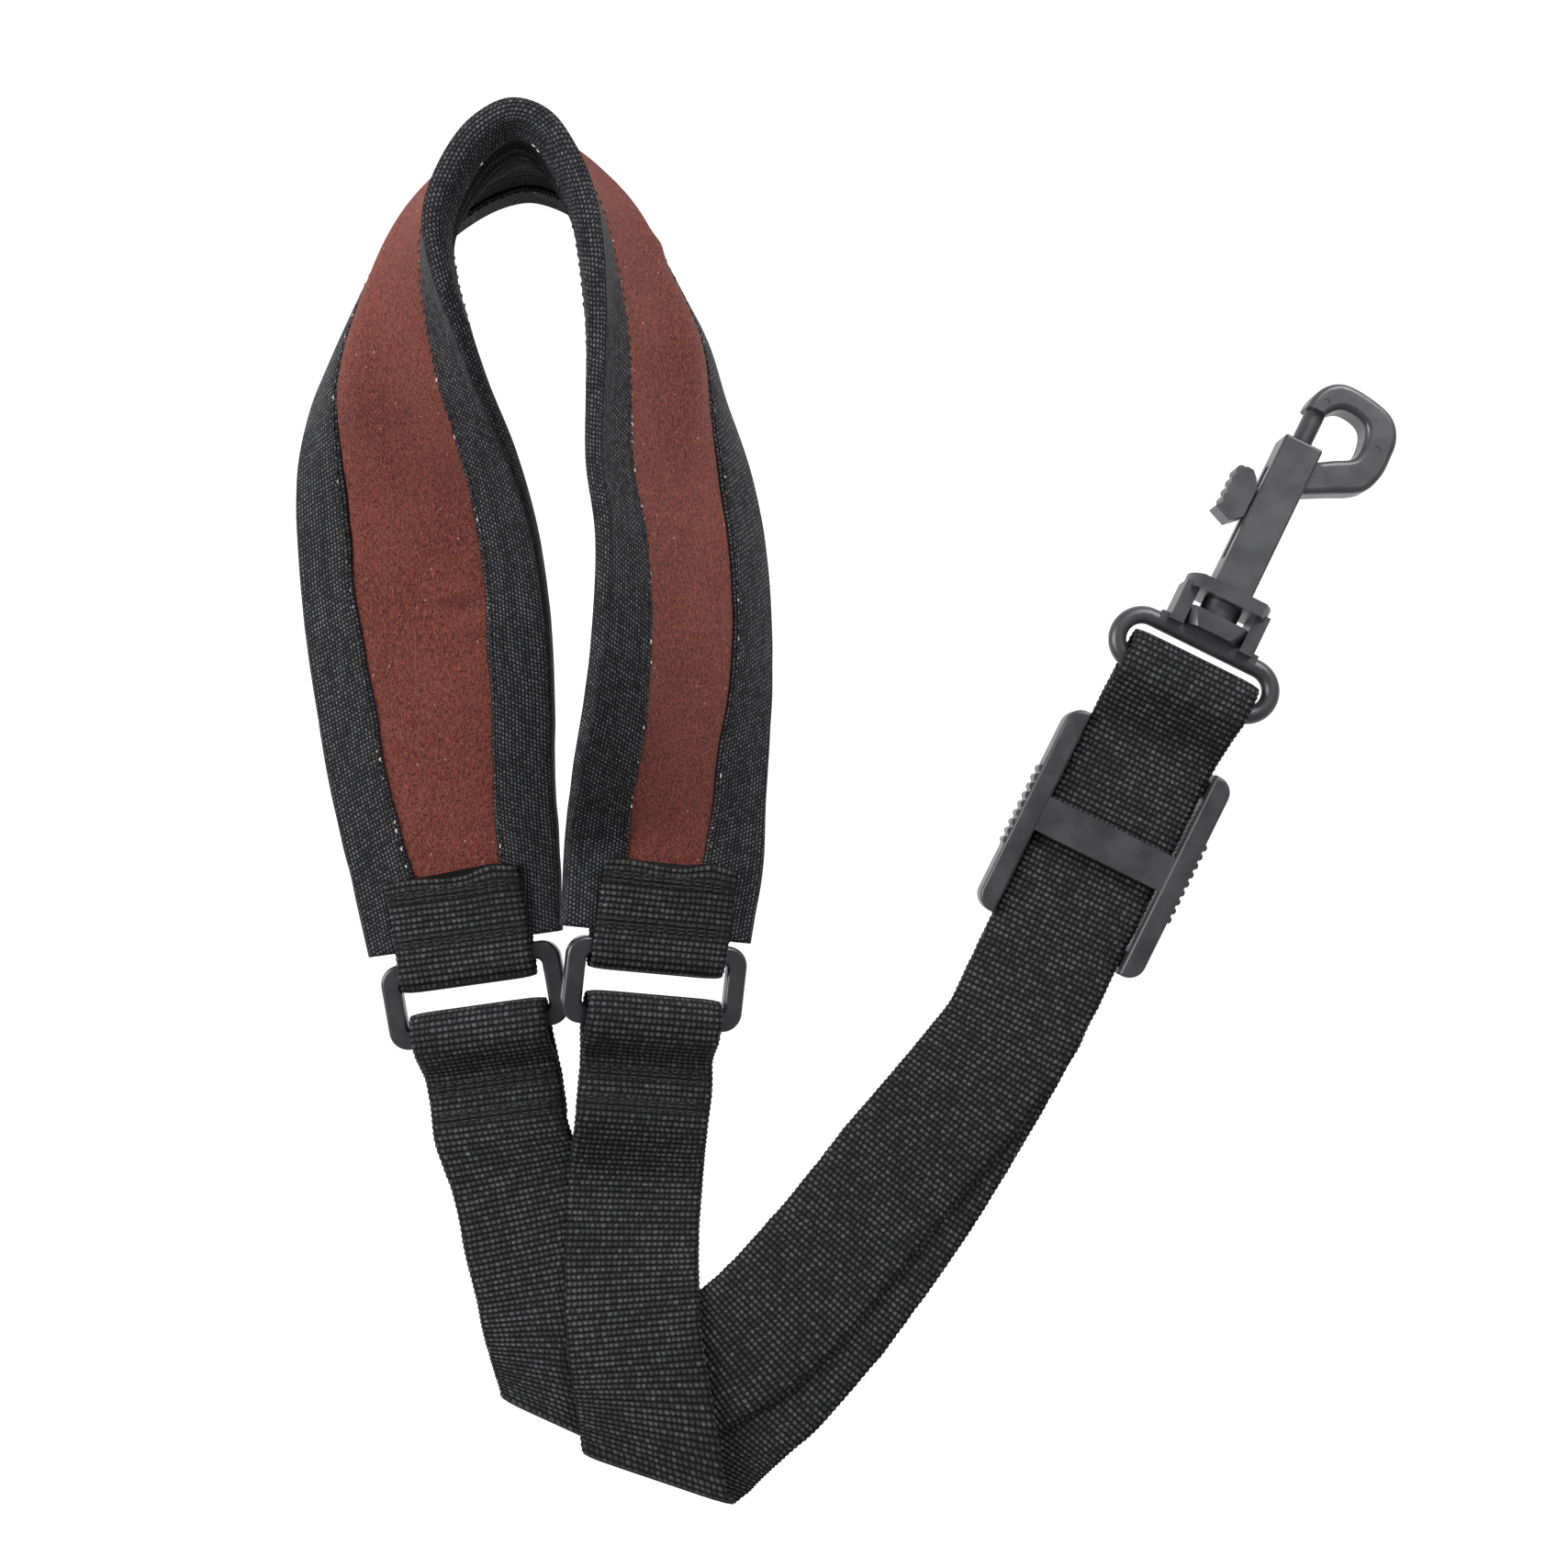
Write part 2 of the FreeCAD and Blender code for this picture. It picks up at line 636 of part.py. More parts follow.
def slider():
    rail = box((SLIDER_INNER, -SLIDER_HALF_LENGTH, 0), (SLIDER_OUTER, SLIDER_HALF_LENGTH, SLIDER_HEIGHT))
    outer_edges = [e for e in rail.Edges if is_upright(e) and e.BoundBox.XMin > SLIDER_INNER + 1]
    rail = rail.makeFillet(SLIDER_END_CORNER, outer_edges)
    rail = rounded_faces(rail, SLIDER_EDGE)
    for tooth in range(GRIP_TEETH):
        along = (tooth - (GRIP_TEETH - 1) / 2) * GRIP_PITCH
        ridge = Part.makeCylinder(GRIP_RADIUS, SLIDER_HEIGHT - 2 * SLIDER_EDGE)
        ridge.translate(V(SLIDER_OUTER + GRIP_PROUD - GRIP_RADIUS, along, SLIDER_EDGE))
        rail = rail.fuse(ridge)
    reach = SLIDER_INNER + 1
    centre = box((-reach, -CENTRE_BAR_HALF, CENTRE_BAR_BOTTOM), (reach, CENTRE_BAR_HALF, SLIDER_HEIGHT - 0.2))
    shape = rail.fuse([mirrored(rail), centre])
    for low, high in ((END_BAR_FROM, END_BAR_TO), (-END_BAR_TO, -END_BAR_FROM)):
        shape = shape.fuse(box((-reach, low, 0), (reach, high, END_BAR_TOP)))
    return place_on_line(shape.removeSplitter())


def bar_point(across, along, height):
    """A point of the base's own frame: x across, y along from the bar's axis, drooping."""
    point = V(across, along, height)
    turn = FreeCAD.Rotation(UP, -LINE_HEADING).multiply(FreeCAD.Rotation(V(1, 0, 0), -HOOK_DROOP))
    return turn.multVec(point) + on_line(0, BAR_ALONG, BAR_HEIGHT)


def place_on_base(shape):
    return place_on_line(shape, BAR_ALONG, BAR_HEIGHT, HOOK_DROOP)


def rod(start, end, radius):
    return Part.makeCylinder(radius, (end - start).Length, start, end - start)


def base_loop():
    """The wire loop: two straight bars joined by half rings."""
    shape = rod(V(-LOOP_END, 0, 0), V(LOOP_END, 0, 0), WIRE_RADIUS)
    shape = shape.fuse(rod(V(-LOOP_END, 2 * LOOP_RADIUS, 0), V(LOOP_END, 2 * LOOP_RADIUS, 0), WIRE_RADIUS))
    half_ring = Part.makeTorus(LOOP_RADIUS, WIRE_RADIUS, V(), UP, -180, 180, 180)
    half_ring.rotate(V(), UP, -90)
    half_ring.translate(V(LOOP_END, LOOP_RADIUS, 0))
    return shape.fuse([half_ring, mirrored(half_ring)])


def disc(radius, half_thick, start, end, end_radius=None):
    """A round plate square to the line, flattened above and below."""
    if end_radius is None or end_radius == radius:
        shape = Part.makeCylinder(radius, end - start, V(0, start, 0), V(0, 1, 0))
    else:
        shape = Part.makeCone(radius, end_radius, end - start, V(0, start, 0), V(0, 1, 0))
    return shape.common(box((-radius * 2, start, -half_thick), (radius * 2, end, half_thick)))


def swivel_base():
    collar = disc(COLLAR_RADIUS, COLLAR_HALF_THICK, COLLAR_FROM, COLLAR_TO)
    lip = disc(LIP_RADIUS - LIP_TAPER, LIP_HALF_THICK, LIP_FROM, WINDOW_FROM, LIP_RADIUS)
    shape = base_loop().fuse([collar, lip])
    for side in (-1, 1):
        near, far = sorted((side * POST_INNER, side * POST_OUTER))
        post = box((near, LIP_FROM - POST_SUNK, -POST_HALF_THICK), (far, COLLAR_FROM + 1, POST_HALF_THICK))
        shape = shape.fuse(post)
    side = POST_OUTER + BRIDGE_SIDE
    bridge = box((-side, 2 * LOOP_RADIUS, -WIRE_RADIUS), (side, LIP_FROM + POST_SUNK, WIRE_RADIUS))
    shape = shape.fuse(bridge)
    hole = rod(V(0, WINDOW_FROM + 1, 0), V(0, COLLAR_TO + 1, 0), NECK_RADIUS + NECK_FIT)
    return place_on_base(shape.cut(hole).removeSplitter())


def smooth_edge(points):
    curve = Part.BSplineCurve()
    curve.interpolate([V(x, y, 0) for x, y in points])
    return curve.toShape()


def claw():
    """The bent end of the hook, from the flat nose that the bolt meets, round and back to the body."""
    outer, inner = smooth_edge(CLAW_OUTER), smooth_edge(CLAW_INNER)
    inside_body = [V(0, CLAW_OUTER[-1][1], 0), V(0, CLAW_INNER[0][1], 0)]
    corners = [V(*CLAW_OUTER[-1], 0)] + inside_body + [V(*CLAW_INNER[0], 0)]
    back = [Part.makeLine(p, q) for p, q in zip(corners, corners[1:])]
    nose = Part.makeLine(V(*CLAW_INNER[-1], 0), V(*CLAW_OUTER[0], 0))
    shape = Part.Face(Part.Wire([outer] + back + [inner, nose])).extrude(V(0, 0, 2 * CLAW_HALF_THICK))
    curved = [e for e in shape.Edges if isinstance(e.Curve, Part.BSplineCurve)]
    shape = shape.makeFillet(CLAW_EDGE, curved)
    shape.translate(V(0, 0, -CLAW_HALF_THICK))
    return shape


def hook_body():
    body = box((-BODY_HALF_WIDTH, BODY_FROM, -BODY_HALF_THICK), (BODY_HALF_WIDTH, BODY_TO, BODY_HALF_THICK))
    body = body.makeFillet(BODY_EDGE, body.Edges)
    shape = body.fuse(claw())
    shape = shape.fuse(rod(V(0, BARREL_TO - 0.5, 0), V(0, BODY_FROM + 1, 0), NECK_RADIUS))
    shape = shape.fuse(rod(V(0, BARREL_FROM, 0), V(0, BARREL_TO, 0), BARREL_RADIUS))
    shape = shape.cut(rod(V(0, BORE_FROM, 0), V(0, BODY_TO + 1, 0), BORE_RADIUS))
    slot = box((-BODY_HALF_WIDTH - 1, SLOT_FROM, -SLOT_HALF), (0, SLOT_TO, SLOT_HALF))
    shape = shape.cut(slot)
    for across, along in PIN_MARKS:
        top = V(across, along, CLAW_HALF_THICK + 1)
        shape = shape.cut(rod(top, V(across, along, CLAW_HALF_THICK - PIN_MARK_DEPTH), PIN_MARK_RADIUS))
    return place_on_base(shape.removeSplitter())


def gate_bolt():
    """The sliding bolt and its thumb knob, which stands out through the slot of the hook's body."""
    knob = Part.Face(Part.makePolygon([V(x, y, 0) for x, y in KNOB_OUTLINE + KNOB_OUTLINE[:1]]))
    knob = knob.extrude(V(0, 0, 2 * KNOB_HALF_THICK))
    for ridge in range(KNOB_RIDGES):
        at = V(KNOB_RIDGE_ACROSS, KNOB_RIDGE_FROM + ridge * KNOB_RIDGE_PITCH, 0)
        knob = knob.fuse(Part.makeCylinder(KNOB_RIDGE_RADIUS, 2 * KNOB_HALF_THICK, at))
    knob = knob.removeSplitter()
    knob.translate(V(0, 0, -KNOB_HALF_THICK))
    root_low = (KNOB_ROOT_OUTER, KNOB_ROOT_FROM, -KNOB_ROOT_HALF)
    root = box(root_low, (KNOB_ROOT_INNER, KNOB_ROOT_TO, KNOB_ROOT_HALF))
    shape = rod(V(0, BOLT_FROM, 0), V(0, BOLT_TO, 0), BOLT_RADIUS)
    return place_on_base(shape.fuse([root, knob]))


def gate_spring():
    """The coil between the foot of the bore and the bolt's lower end."""
    length = BOLT_FROM - BORE_FROM - 0.1 - SPRING_WIRE
    helix = Part.makeHelix(length / SPRING_TURNS, length, SPRING_RADIUS)
    wire = Part.Wire(Part.makeCircle(SPRING_WIRE / 2, V(SPRING_RADIUS, 0, 0), V(0, 1, 0)))
    shape = Part.Wire(helix.Edges).makePipeShell([wire], True, True)
    shape.rotate(V(), V(1, 0, 0), -90)
    shape.translate(V(0, BORE_FROM + 0.05 + SPRING_WIRE / 2, 0))
    return place_on_base(shape)


# ---- webbing strap ------------------------------------------------------------------------------
def web_line(x, y, a_height, b_height, angle, length):
    turn = math.radians(angle)
    half = V(math.cos(turn), math.sin(turn), 0) * (length / 2)
    return V(x, y, a_height) - half, V(x, y, b_height) + half


def soft_fold(fold, bottoms, slide):
    """Stations round a slantwise fold, from its upper layer to its lower one.

    The webbing rolls about the fold line and slides along it by slide times the length it rolls.
    """
    x, y, a_top, b_top, angle, length = fold
    turn = math.radians(angle)
    along = V(math.cos(turn), math.sin(turn), 0)
    out = V(math.sin(turn), -math.cos(turn), 0)
    edges = web_line(*fold)
    radii = [(top - bottom) / 2 for top, bottom in zip((a_top, b_top), bottoms)]
    mean = sum(radii) / 2
    rows = []
    for step in range(FOLD_STEPS + 1):
        angle = math.pi * step / FOLD_STEPS
        rows.append(tuple(
            edge + along * (slide * mean * angle) + out * (radius * math.sin(angle))
            - UP * (radius * (1 - math.cos(angle)))
            for edge, radius in zip(edges, radii)
        ))
    return rows


def line_row(along, height):
    half = WEB_WIDTH / 2
    return on_line(-half, along, height), on_line(half, along, height)


def hardware_stretch():
    """Stations through the slider, round the base's bar and back through the slider."""
    upper = [(-38.0, 4.0), (-32.0, SLIDER_WEB_HIGH), (0.0, SLIDER_WEB_HIGH), (18.0, SLIDER_WEB_HIGH)]
    upper += [(22.0, 4.6), (27.0, 7.3), (30.5, BAR_HEIGHT + FOLD_RADIUS - 0.2)]
    turn = []
    for step in range(FOLD_STEPS + 1):
        angle = math.pi * step / FOLD_STEPS
        along = BAR_ALONG + FOLD_OFFSET + FOLD_RADIUS * math.sin(angle)
        turn.append((along, BAR_HEIGHT + FOLD_RADIUS * math.cos(angle)))
    lower = [(30.5, BAR_HEIGHT - FOLD_RADIUS), (25.0, 3.0), (18.0, SLIDER_WEB_LOW)]
    lower += [(0.0, SLIDER_WEB_LOW), (-32.0, SLIDER_WEB_LOW)]
    return [line_row(along, height) for along, height in upper + turn + lower]


def webbing_rows():
    rows = sewn_loop(LEFT_SIDE)
    rows += [web_line(*station) for station in LEFT_RUN]
    rows += soft_fold(LEFT_FOLD, LEFT_FOLD_BOTTOM, LEFT_FOLD_SLIDE)
    rows += [web_line(*station) for station in UPPER_DIAGONAL]
    rows += hardware_stretch()
    rows += [web_line(*station) for station in LOWER_DIAGONAL]
    rows += reversed(soft_fold(RIGHT_FOLD, RIGHT_FOLD_BOTTOM, RIGHT_FOLD_SLIDE))
    rows += [web_line(*station) for station in RIGHT_RUN]
    rows += reversed(sewn_loop(RIGHT_SIDE))
    return rows


def webbing_strap():
    return band(resample(webbing_rows(), WEB_STEP), WEB_THICK)


# ---- parts --------------------------------------------------------------------------------------
def parts():
    made = {
        "suede_panel": suede_panel(),
        "foam_core": foam_core(),
        "mesh_lining": mesh_lining(),
        "outer_edge_tape": edge_tape(False),
        "inner_edge_tape": edge_tape(True),
        "outer_tape_stitching": tape_stitching(False),
        "inner_tape_stitching": tape_stitching(True),
        "webbing_strap": webbing_strap(),
        "slider": slider(),
        "swivel_base": swivel_base(),
        "hook_body": hook_body(),
        "gate_bolt": gate_bolt(),
        "gate_spring": gate_spring(),
    }
    for name, side in (("left", LEFT_SIDE), ("right", RIGHT_SIDE)):
        made[name + "_pad_tab"] = pad_tab(side)
        made[name + "_tab_stitching"] = tab_stitching(side)
        made[name + "_ring"] = ring(side)
        made[name + "_strap_stitching"] = strap_stitching(side)
    return made


def main():
    os.makedirs("parts", exist_ok=True)
    whole = FreeCAD.BoundBox()
    for name, shape in parts().items():
        shape.translate(PLAN_SHIFT)
        shape.exportStep("parts/" + name + ".step")
        whole.add(shape.BoundBox)
        print(name, "valid" if shape.isValid() else "NOT VALID", len(shape.Solids), round(shape.Volume, 1))
    print("whole", whole)


if __name__ == "__main__":
    main()
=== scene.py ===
"""A saxophone neck strap: the looks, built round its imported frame.

Lengths are millimetres on the same lay-out plan as the CAD until a mesh is made, and metres after it.
Soft pieces are ribbons through the same stations as the CAD solids, cut much finer.
"""
import math

import bpy
import numpy as np
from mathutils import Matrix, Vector


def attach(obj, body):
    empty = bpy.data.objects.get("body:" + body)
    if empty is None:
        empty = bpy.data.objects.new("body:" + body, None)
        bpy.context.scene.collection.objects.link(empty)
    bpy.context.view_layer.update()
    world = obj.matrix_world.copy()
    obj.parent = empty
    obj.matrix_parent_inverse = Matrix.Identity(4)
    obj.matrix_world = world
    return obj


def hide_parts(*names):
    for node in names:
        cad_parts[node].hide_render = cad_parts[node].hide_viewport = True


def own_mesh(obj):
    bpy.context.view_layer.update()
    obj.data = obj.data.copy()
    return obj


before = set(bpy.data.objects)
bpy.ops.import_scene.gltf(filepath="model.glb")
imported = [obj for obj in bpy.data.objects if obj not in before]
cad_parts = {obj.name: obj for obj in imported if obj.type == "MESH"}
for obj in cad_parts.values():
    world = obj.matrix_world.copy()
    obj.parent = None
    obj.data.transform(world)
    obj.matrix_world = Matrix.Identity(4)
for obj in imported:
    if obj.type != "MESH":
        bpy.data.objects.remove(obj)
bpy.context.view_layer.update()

MM = 0.001
SEED = 11
PLAN_SHIFT = (0.91, 7.17, 0)

# ---- stations, repeated from the CAD ------------------------------------------------------------
WEB_WIDTH = 25.0
WEB_THICK = 1.3
LAYER_GAP = 0.05
SKIN_THICK = 0.7
TAPE_THICK = 0.6
TAPE_COVER = 11.5
FOAM_HALF_EDGE = 0.4
FOAM_HALF_MIDDLE = 2.2
FOAM_TAPER = 45.0
SEAM_INSET = 0.7
END_HEIGHT = 3.2
LOW_BOW = 4.0
LOW_BOW_START = 80.0
LOW_BOW_REACH = 32.0
HIGH_BOW = -3.5
HIGH_BOW_START = 30.0
HIGH_BOW_REACH = 60.0
BOW_SCALE = 27 / 4
TAB_REACH = 13.0
TAB_UNDER_REACH = 11.0
TAB_ROWS = (-10.0, -1.6)
STRAP_ROWS = (16.8, 22.4)
STRAP_UNDER = (24.6, 16.0, 8.5)
STRAP_DESCENT = ((8.5, 4.8), (10.2, 3.75), (12.0, 1.95), (13.6, 0.5), (15.0, 0.0), (18.5, 0.0), (26.0, 0.0))
VEER_FROM = 9.0
VEER_REACH = 10.0
ROW_LENGTH = 22.0
RING_FOLD_RADIUS = 2.5
RING_FOLD_TIP = 1.8
STRAP_LOOP_TOP = 4.0
LINE_START = (47.0, -9.0)
LINE_HEADING = 26.3
SLIDER_WEB_LOW = 2.65
SLIDER_WEB_HIGH = 4.0
BAR_ALONG = 32.25
BAR_HEIGHT = 6.6
FOLD_RADIUS = 3.05
FOLD_OFFSET = 2.5
FOLD_STEPS = 6
PAD_LEFT = (
    ((-89.3, -30.1, END_HEIGHT), (-53.4, -25.1, END_HEIGHT)),
    ((-92.7, -15.4, END_HEIGHT), (-54.0, -10.2, END_HEIGHT)),
    ((-96.0, -1.0, 3.0), (-54.5, 2.0, 5.0)),
    ((-100.2, 24.0, 2.8), (-54.6, 27.0, 10.0)),
    ((-102.2, 45.0, 2.6), (-56.0, 44.5, 16.5)),
    ((-102.0, 61.5, 2.4), (-59.5, 59.5, 24.5)),
    ((-98.7, 73.6, 2.3), (-63.3, 69.4, 32.5)),
    ((-92.8, 84.0, 2.2), (-65.9, 77.5, 38.5)),
    ((-86.0, 93.4, 2.1), (-68.7, 86.0, 42.5)),
    ((-79.0, 101.4, 2.0), (-69.9, 94.5, 44.6)),
    ((-72.4, 106.9, 2.0), (-67.2, 102.5, 45.6)),
    ((-65.7, 110.6, 2.0), (-62.6, 108.8, 46.2)),
)
PAD_TOP = ((-59.6, 111.9, 2.0), (-56.8, 112.1, 46.4))
PAD_RIGHT = (
    ((-54.0, 110.5, 2.0), (-51.2, 110.4, 46.3)),
    ((-48.6, 107.3, 2.0), (-47.0, 104.6, 46.0)),
    ((-43.0, 102.6, 2.0), (-44.5, 98.3, 45.6)),
    ((-38.3, 96.8, 2.0), (-43.3, 91.5, 45.2)),
    ((-33.0, 89.0, 2.0), (-42.8, 83.0, 44.2)),
    ((-27.8, 81.0, 2.1), (-42.9, 75.0, 43.0)),
    ((-24.1, 72.0, 2.2), (-43.4, 66.5, 41.8)),
    ((-19.5, 59.5, 2.3), (-43.8, 56.0, 40.3)),
    ((-16.6, 45.0, 2.5), (-42.6, 43.5, 38.0)),
    ((-15.3, 23.0, 2.8), (-44.5, 23.0, 33.0)),
    ((-15.9, 1.0, 3.0), (-49.3, 3.0, 22.0)),
    ((-16.2, -12.6, 3.1), (-51.7, -8.3, 13.6)),
    ((-18.6, -27.5, 3.1), (-52.6, -23.3, 13.2)),
)
LEFT_RUN = (
    (-62.2, -71.7, 0.95, 0.95, 12, 25.0),
    (-58.0, -91.0, 0.85, 1.3, 11, 25.0),
    (-55.4, -101.0, 1.6, 3.2, 2, 25.4),
    (-53.2, -109.5, 2.6, 4.0, -12, 27.4),
)
LEFT_FOLD = (-51.0, -117.2, 3.1, 4.3, -24, 30.9)
UPPER_DIAGONAL = (
    (-43.5, -114.4, 1.35, 2.65, -34, 27.8),
    (-36.5, -111.4, 2.0, 2.45, -46, 25.7),
    (-28.5, -107.3, 2.15, 2.15, -54, 25.0),
    (-21.3, -103.0, 2.15, 2.15, -50, 25.0),
    (-14.4, -97.3, 2.15, 2.15, -45, 25.0),
    (-4.8, -86.8, 2.15, 2.15, -41, 25.0),
    (5.0, -74.6, 2.15, 2.15, -38.5, 25.0),
    (13.2, -64.6, 2.4, 2.4, -37.5, 25.0),
    (22.0, -53.9, 3.4, 3.4, -33.5, 25.0),
)
LOWER_DIAGONAL = (
    (28.0, -47.6, 2.1, 2.1, -27.5, 25.0),
    (21.7, -59.0, 1.1, 1.1, -30, 25.0),
    (15.0, -70.3, 0.75, 0.75, -32.5, 25.0),
    (7.4, -82.0, 0.7, 0.7, -35, 25.0),
    (-0.4, -92.7, 0.7, 0.7, -38, 25.0),
    (-7.6, -101.7, 0.7, 0.7, -40, 25.0),
    (-15.0, -110.0, 0.7, 0.7, -43, 25.0),
    (-22.5, -116.8, 0.7, 0.7, -40, 25.4),
    (-28.0, -121.4, 0.7, 0.7, -30, 26.8),
)
RIGHT_FOLD = (-36.3, -123.9, 6.5, 4.9, -21, 29.0)
RIGHT_RUN = (
    (-37.4, -117.0, 6.4, 4.7, -12, 26.6),
    (-38.9, -108.0, 6.0, 4.3, 1, 25.1),
    (-40.2, -98.0, 4.7, 4.0, 5, 25.0),
    (-40.5, -84.0, 2.6, 2.1, 0, 25.0),
    (-39.9, -71.0, 2.7, 0.9, -3, 25.0),
)
LEFT_FOLD_BOTTOM = (0.9, 2.7)
RIGHT_FOLD_BOTTOM = (0.7, 0.7)
LEFT_FOLD_SLIDE = 0.73
RIGHT_FOLD_SLIDE = 0.56

UP = np.array((0.0, 0.0, 1.0))


def vec(*parts):
    return np.array(parts, dtype=float)


# ---- ribbons ------------------------------------------------------------------------------------
def smooth_rows(stations, step):
    """Smooth curves through both edges of a ribbon, cut about every step, as the CAD draws them."""
    rows = np.array([[np.array(p, dtype=float) for p in station] for station in stations])
    first = 2 * rows[:1] - rows[1:2]
    last = 2 * rows[-1:] - rows[-2:-1]
    rows = np.concatenate([first, rows, last])
    middles = rows.mean(axis=1)
    gaps = np.sqrt(np.linalg.norm(np.diff(middles, axis=0), axis=1))
    knots = np.concatenate([[0.0], np.cumsum(gaps)])
    result = []
    for i in range(1, len(rows) - 2):
        span = knots[i + 1] - knots[i]
        slopes = [tangent(knots, rows, j) * span for j in (i, i + 1)]
        cuts = max(1, round(span * span / step))
        for cut in range(cuts):
            result.append(hermite(rows[i], rows[i + 1], slopes[0], slopes[1], cut / cuts))
    result.append(rows[-2])
    return np.array(result)


def tangent(knots, rows, j):
    back = (rows[j] - rows[j - 1]) / (knots[j] - knots[j - 1])
    over = (rows[j + 1] - rows[j - 1]) / (knots[j + 1] - knots[j - 1])
    forth = (rows[j + 1] - rows[j]) / (knots[j + 1] - knots[j])
    return back - over + forth


def hermite(p, q, p_slope, q_slope, w):
    return (
        p * (2 * w**3 - 3 * w**2 + 1)
        + p_slope * (w**3 - 2 * w**2 + w)
        + q * (3 * w**2 - 2 * w**3)
        + q_slope * (w**3 - w**2)
    )


def smooth_step(values):
    values = np.clip(values, 0, 1)
    return values * values * (3 - 2 * values)


def unit(vectors):
    return vectors / np.linalg.norm(vectors, axis=-1, keepdims=True)


class Ribbon:
    """The middle surface of a soft piece: a frame of directions at each cut along it."""

    def __init__(self, rows):
        self.start = rows[:, 0]
        middles = rows.mean(axis=1)
        self.width = np.linalg.norm(rows[:, 1] - rows[:, 0], axis=1)
        self.across = unit(rows[:, 1] - rows[:, 0])
        self.travel = unit(np.gradient(middles, axis=0))
        self.up = unit(np.cross(self.across, self.travel))
        steps = np.linalg.norm(np.diff(middles, axis=0), axis=1)
        self.run = np.concatenate([[0.0], np.cumsum(steps)])
        self.length = self.run[-1]

    def points(self, across, up):
        """Points for arrays of distances across from the a edge, and above the middle surface."""
        return (
            self.start[:, None]
            + self.across[:, None] * across[..., None]
            + self.up[:, None] * up[..., None]
        )

    def at(self, run):
        """The directions across, up and along at one distance along the ribbon."""
        def pick(values):
            return np.array([np.interp(run, self.run, values[:, k]) for k in range(3)])
        return pick(self.across), pick(self.up), pick(self.travel)


def every(rows, step):
    """The rows of a smooth ribbon, cut again at even distances."""
    middles = rows.mean(axis=1)
    run = np.concatenate([[0.0], np.cumsum(np.linalg.norm(np.diff(middles, axis=0), axis=1))])
    count = max(2, round(run[-1] / step) + 1)
    even = np.linspace(0, run[-1], count)
    flat = rows.reshape(len(rows), -1)
    cut = np.stack([np.interp(even, run, flat[:, k]) for k in range(flat.shape[1])], axis=1)
    return cut.reshape(count, *rows.shape[1:])


def add_piece(name, mesh, node_names, material, body="strap"):
    piece = bpy.data.objects.new(name, mesh)
    bpy.context.scene.collection.objects.link(piece)
    mesh.materials.append(material)
    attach(piece, body)
    if node_names:
        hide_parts(*node_names)
    return piece


def loft(name, points, run, around):
    """A closed mesh through rings of points, with a UV map in millimetres along and around it."""
    rings, count = points.shape[:2]
    verts = (points + np.array(PLAN_SHIFT)) * MM
    i, j = np.meshgrid(np.arange(rings - 1), np.arange(count), indexing="ij")
    following = (j + 1) % count
    quads = np.stack(
        [i * count + j, i * count + following, (i + 1) * count + following, (i + 1) * count + j],
        axis=-1,
    ).reshape(-1, 4)
    start_cap = list(range(count))[::-1]
    end_cap = [(rings - 1) * count + k for k in range(count)]
    mesh = bpy.data.meshes.new(name)
    mesh.from_pydata(verts.reshape(-1, 3).tolist(), [], quads.tolist() + [start_cap, end_cap])
    loop_u = np.stack([run[i], run[i], run[i + 1], run[i + 1]], axis=-1).reshape(-1)
    loop_v = np.stack([around[j], around[j + 1], around[j + 1], around[j]], axis=-1).reshape(-1)
    cap_u = np.concatenate([np.full(count, run[0]), np.full(count, run[-1])])
    cap_v = np.concatenate([around[:count][::-1], around[:count]])
    uv = np.stack([np.concatenate([loop_u, cap_u]), np.concatenate([loop_v, cap_v])], axis=-1)
    layer = mesh.uv_layers.new(name="Weave")
    layer.data.foreach_set("uv", uv.reshape(-1))
    mesh.polygons.foreach_set("use_smooth", np.ones(len(mesh.polygons), dtype=bool))
    mesh.update()
    turn_outwards(mesh)
    return mesh


def turn_outwards(mesh):
    """Flips the faces if the closed mesh is inside out."""
    mesh.calc_loop_triangles()
    corners = np.empty(len(mesh.loop_triangles) * 3, dtype=np.int32)
    mesh.loop_triangles.foreach_get("vertices", corners)
    places = np.empty(len(mesh.vertices) * 3)
    mesh.vertices.foreach_get("co", places)
    a, b, c = places.reshape(-1, 3)[corners.reshape(-1, 3)].transpose(1, 0, 2)
    if np.einsum("ij,ij->", a, np.cross(b, c)) < 0:
        mesh.flip_normals()


def waves(values, pitch, phase=0.0):
    return np.cos(2 * math.pi * (values / pitch + phase))


def wander(run, rng, reach, amount):
    """A smooth random curve along a ribbon, with bends about every reach."""
    knots = np.arange(-reach, run[-1] + 2 * reach, reach)
    values = rng.uniform(-1, 1, len(knots))
    place = (run + reach) / reach
    index = np.clip(place.astype(int), 0, len(knots) - 2)
    weight = place - index
    weight = weight * weight * (3 - 2 * weight)
    return amount * (values[index] * (1 - weight) + values[index + 1] * weight)


# ---- webbing ------------------------------------------------------------------------------------
RIB_PITCH = 1.12
RIB_CUTS = 4
RIB_DEPTH = 0.11
SCALLOP = 0.10
WEB_COLUMNS = 13
ROW_PRESS = 1.35
ROW_DIP = 0.12
# How thin the webbing gets at its edges, and how unevenly they run: (length of a bend, depth).
EDGE_THINNING = 0.55
EDGE_WANDERS = ((9.0, 0.16), (2.5, 0.06))
# The tab's cut end: the distance over which its unevenness fades, and where its one tuft stands out.
CUT_FADE = 3.0
TUFT_PLACE = 0.78
TUFT_SPREAD = 0.12


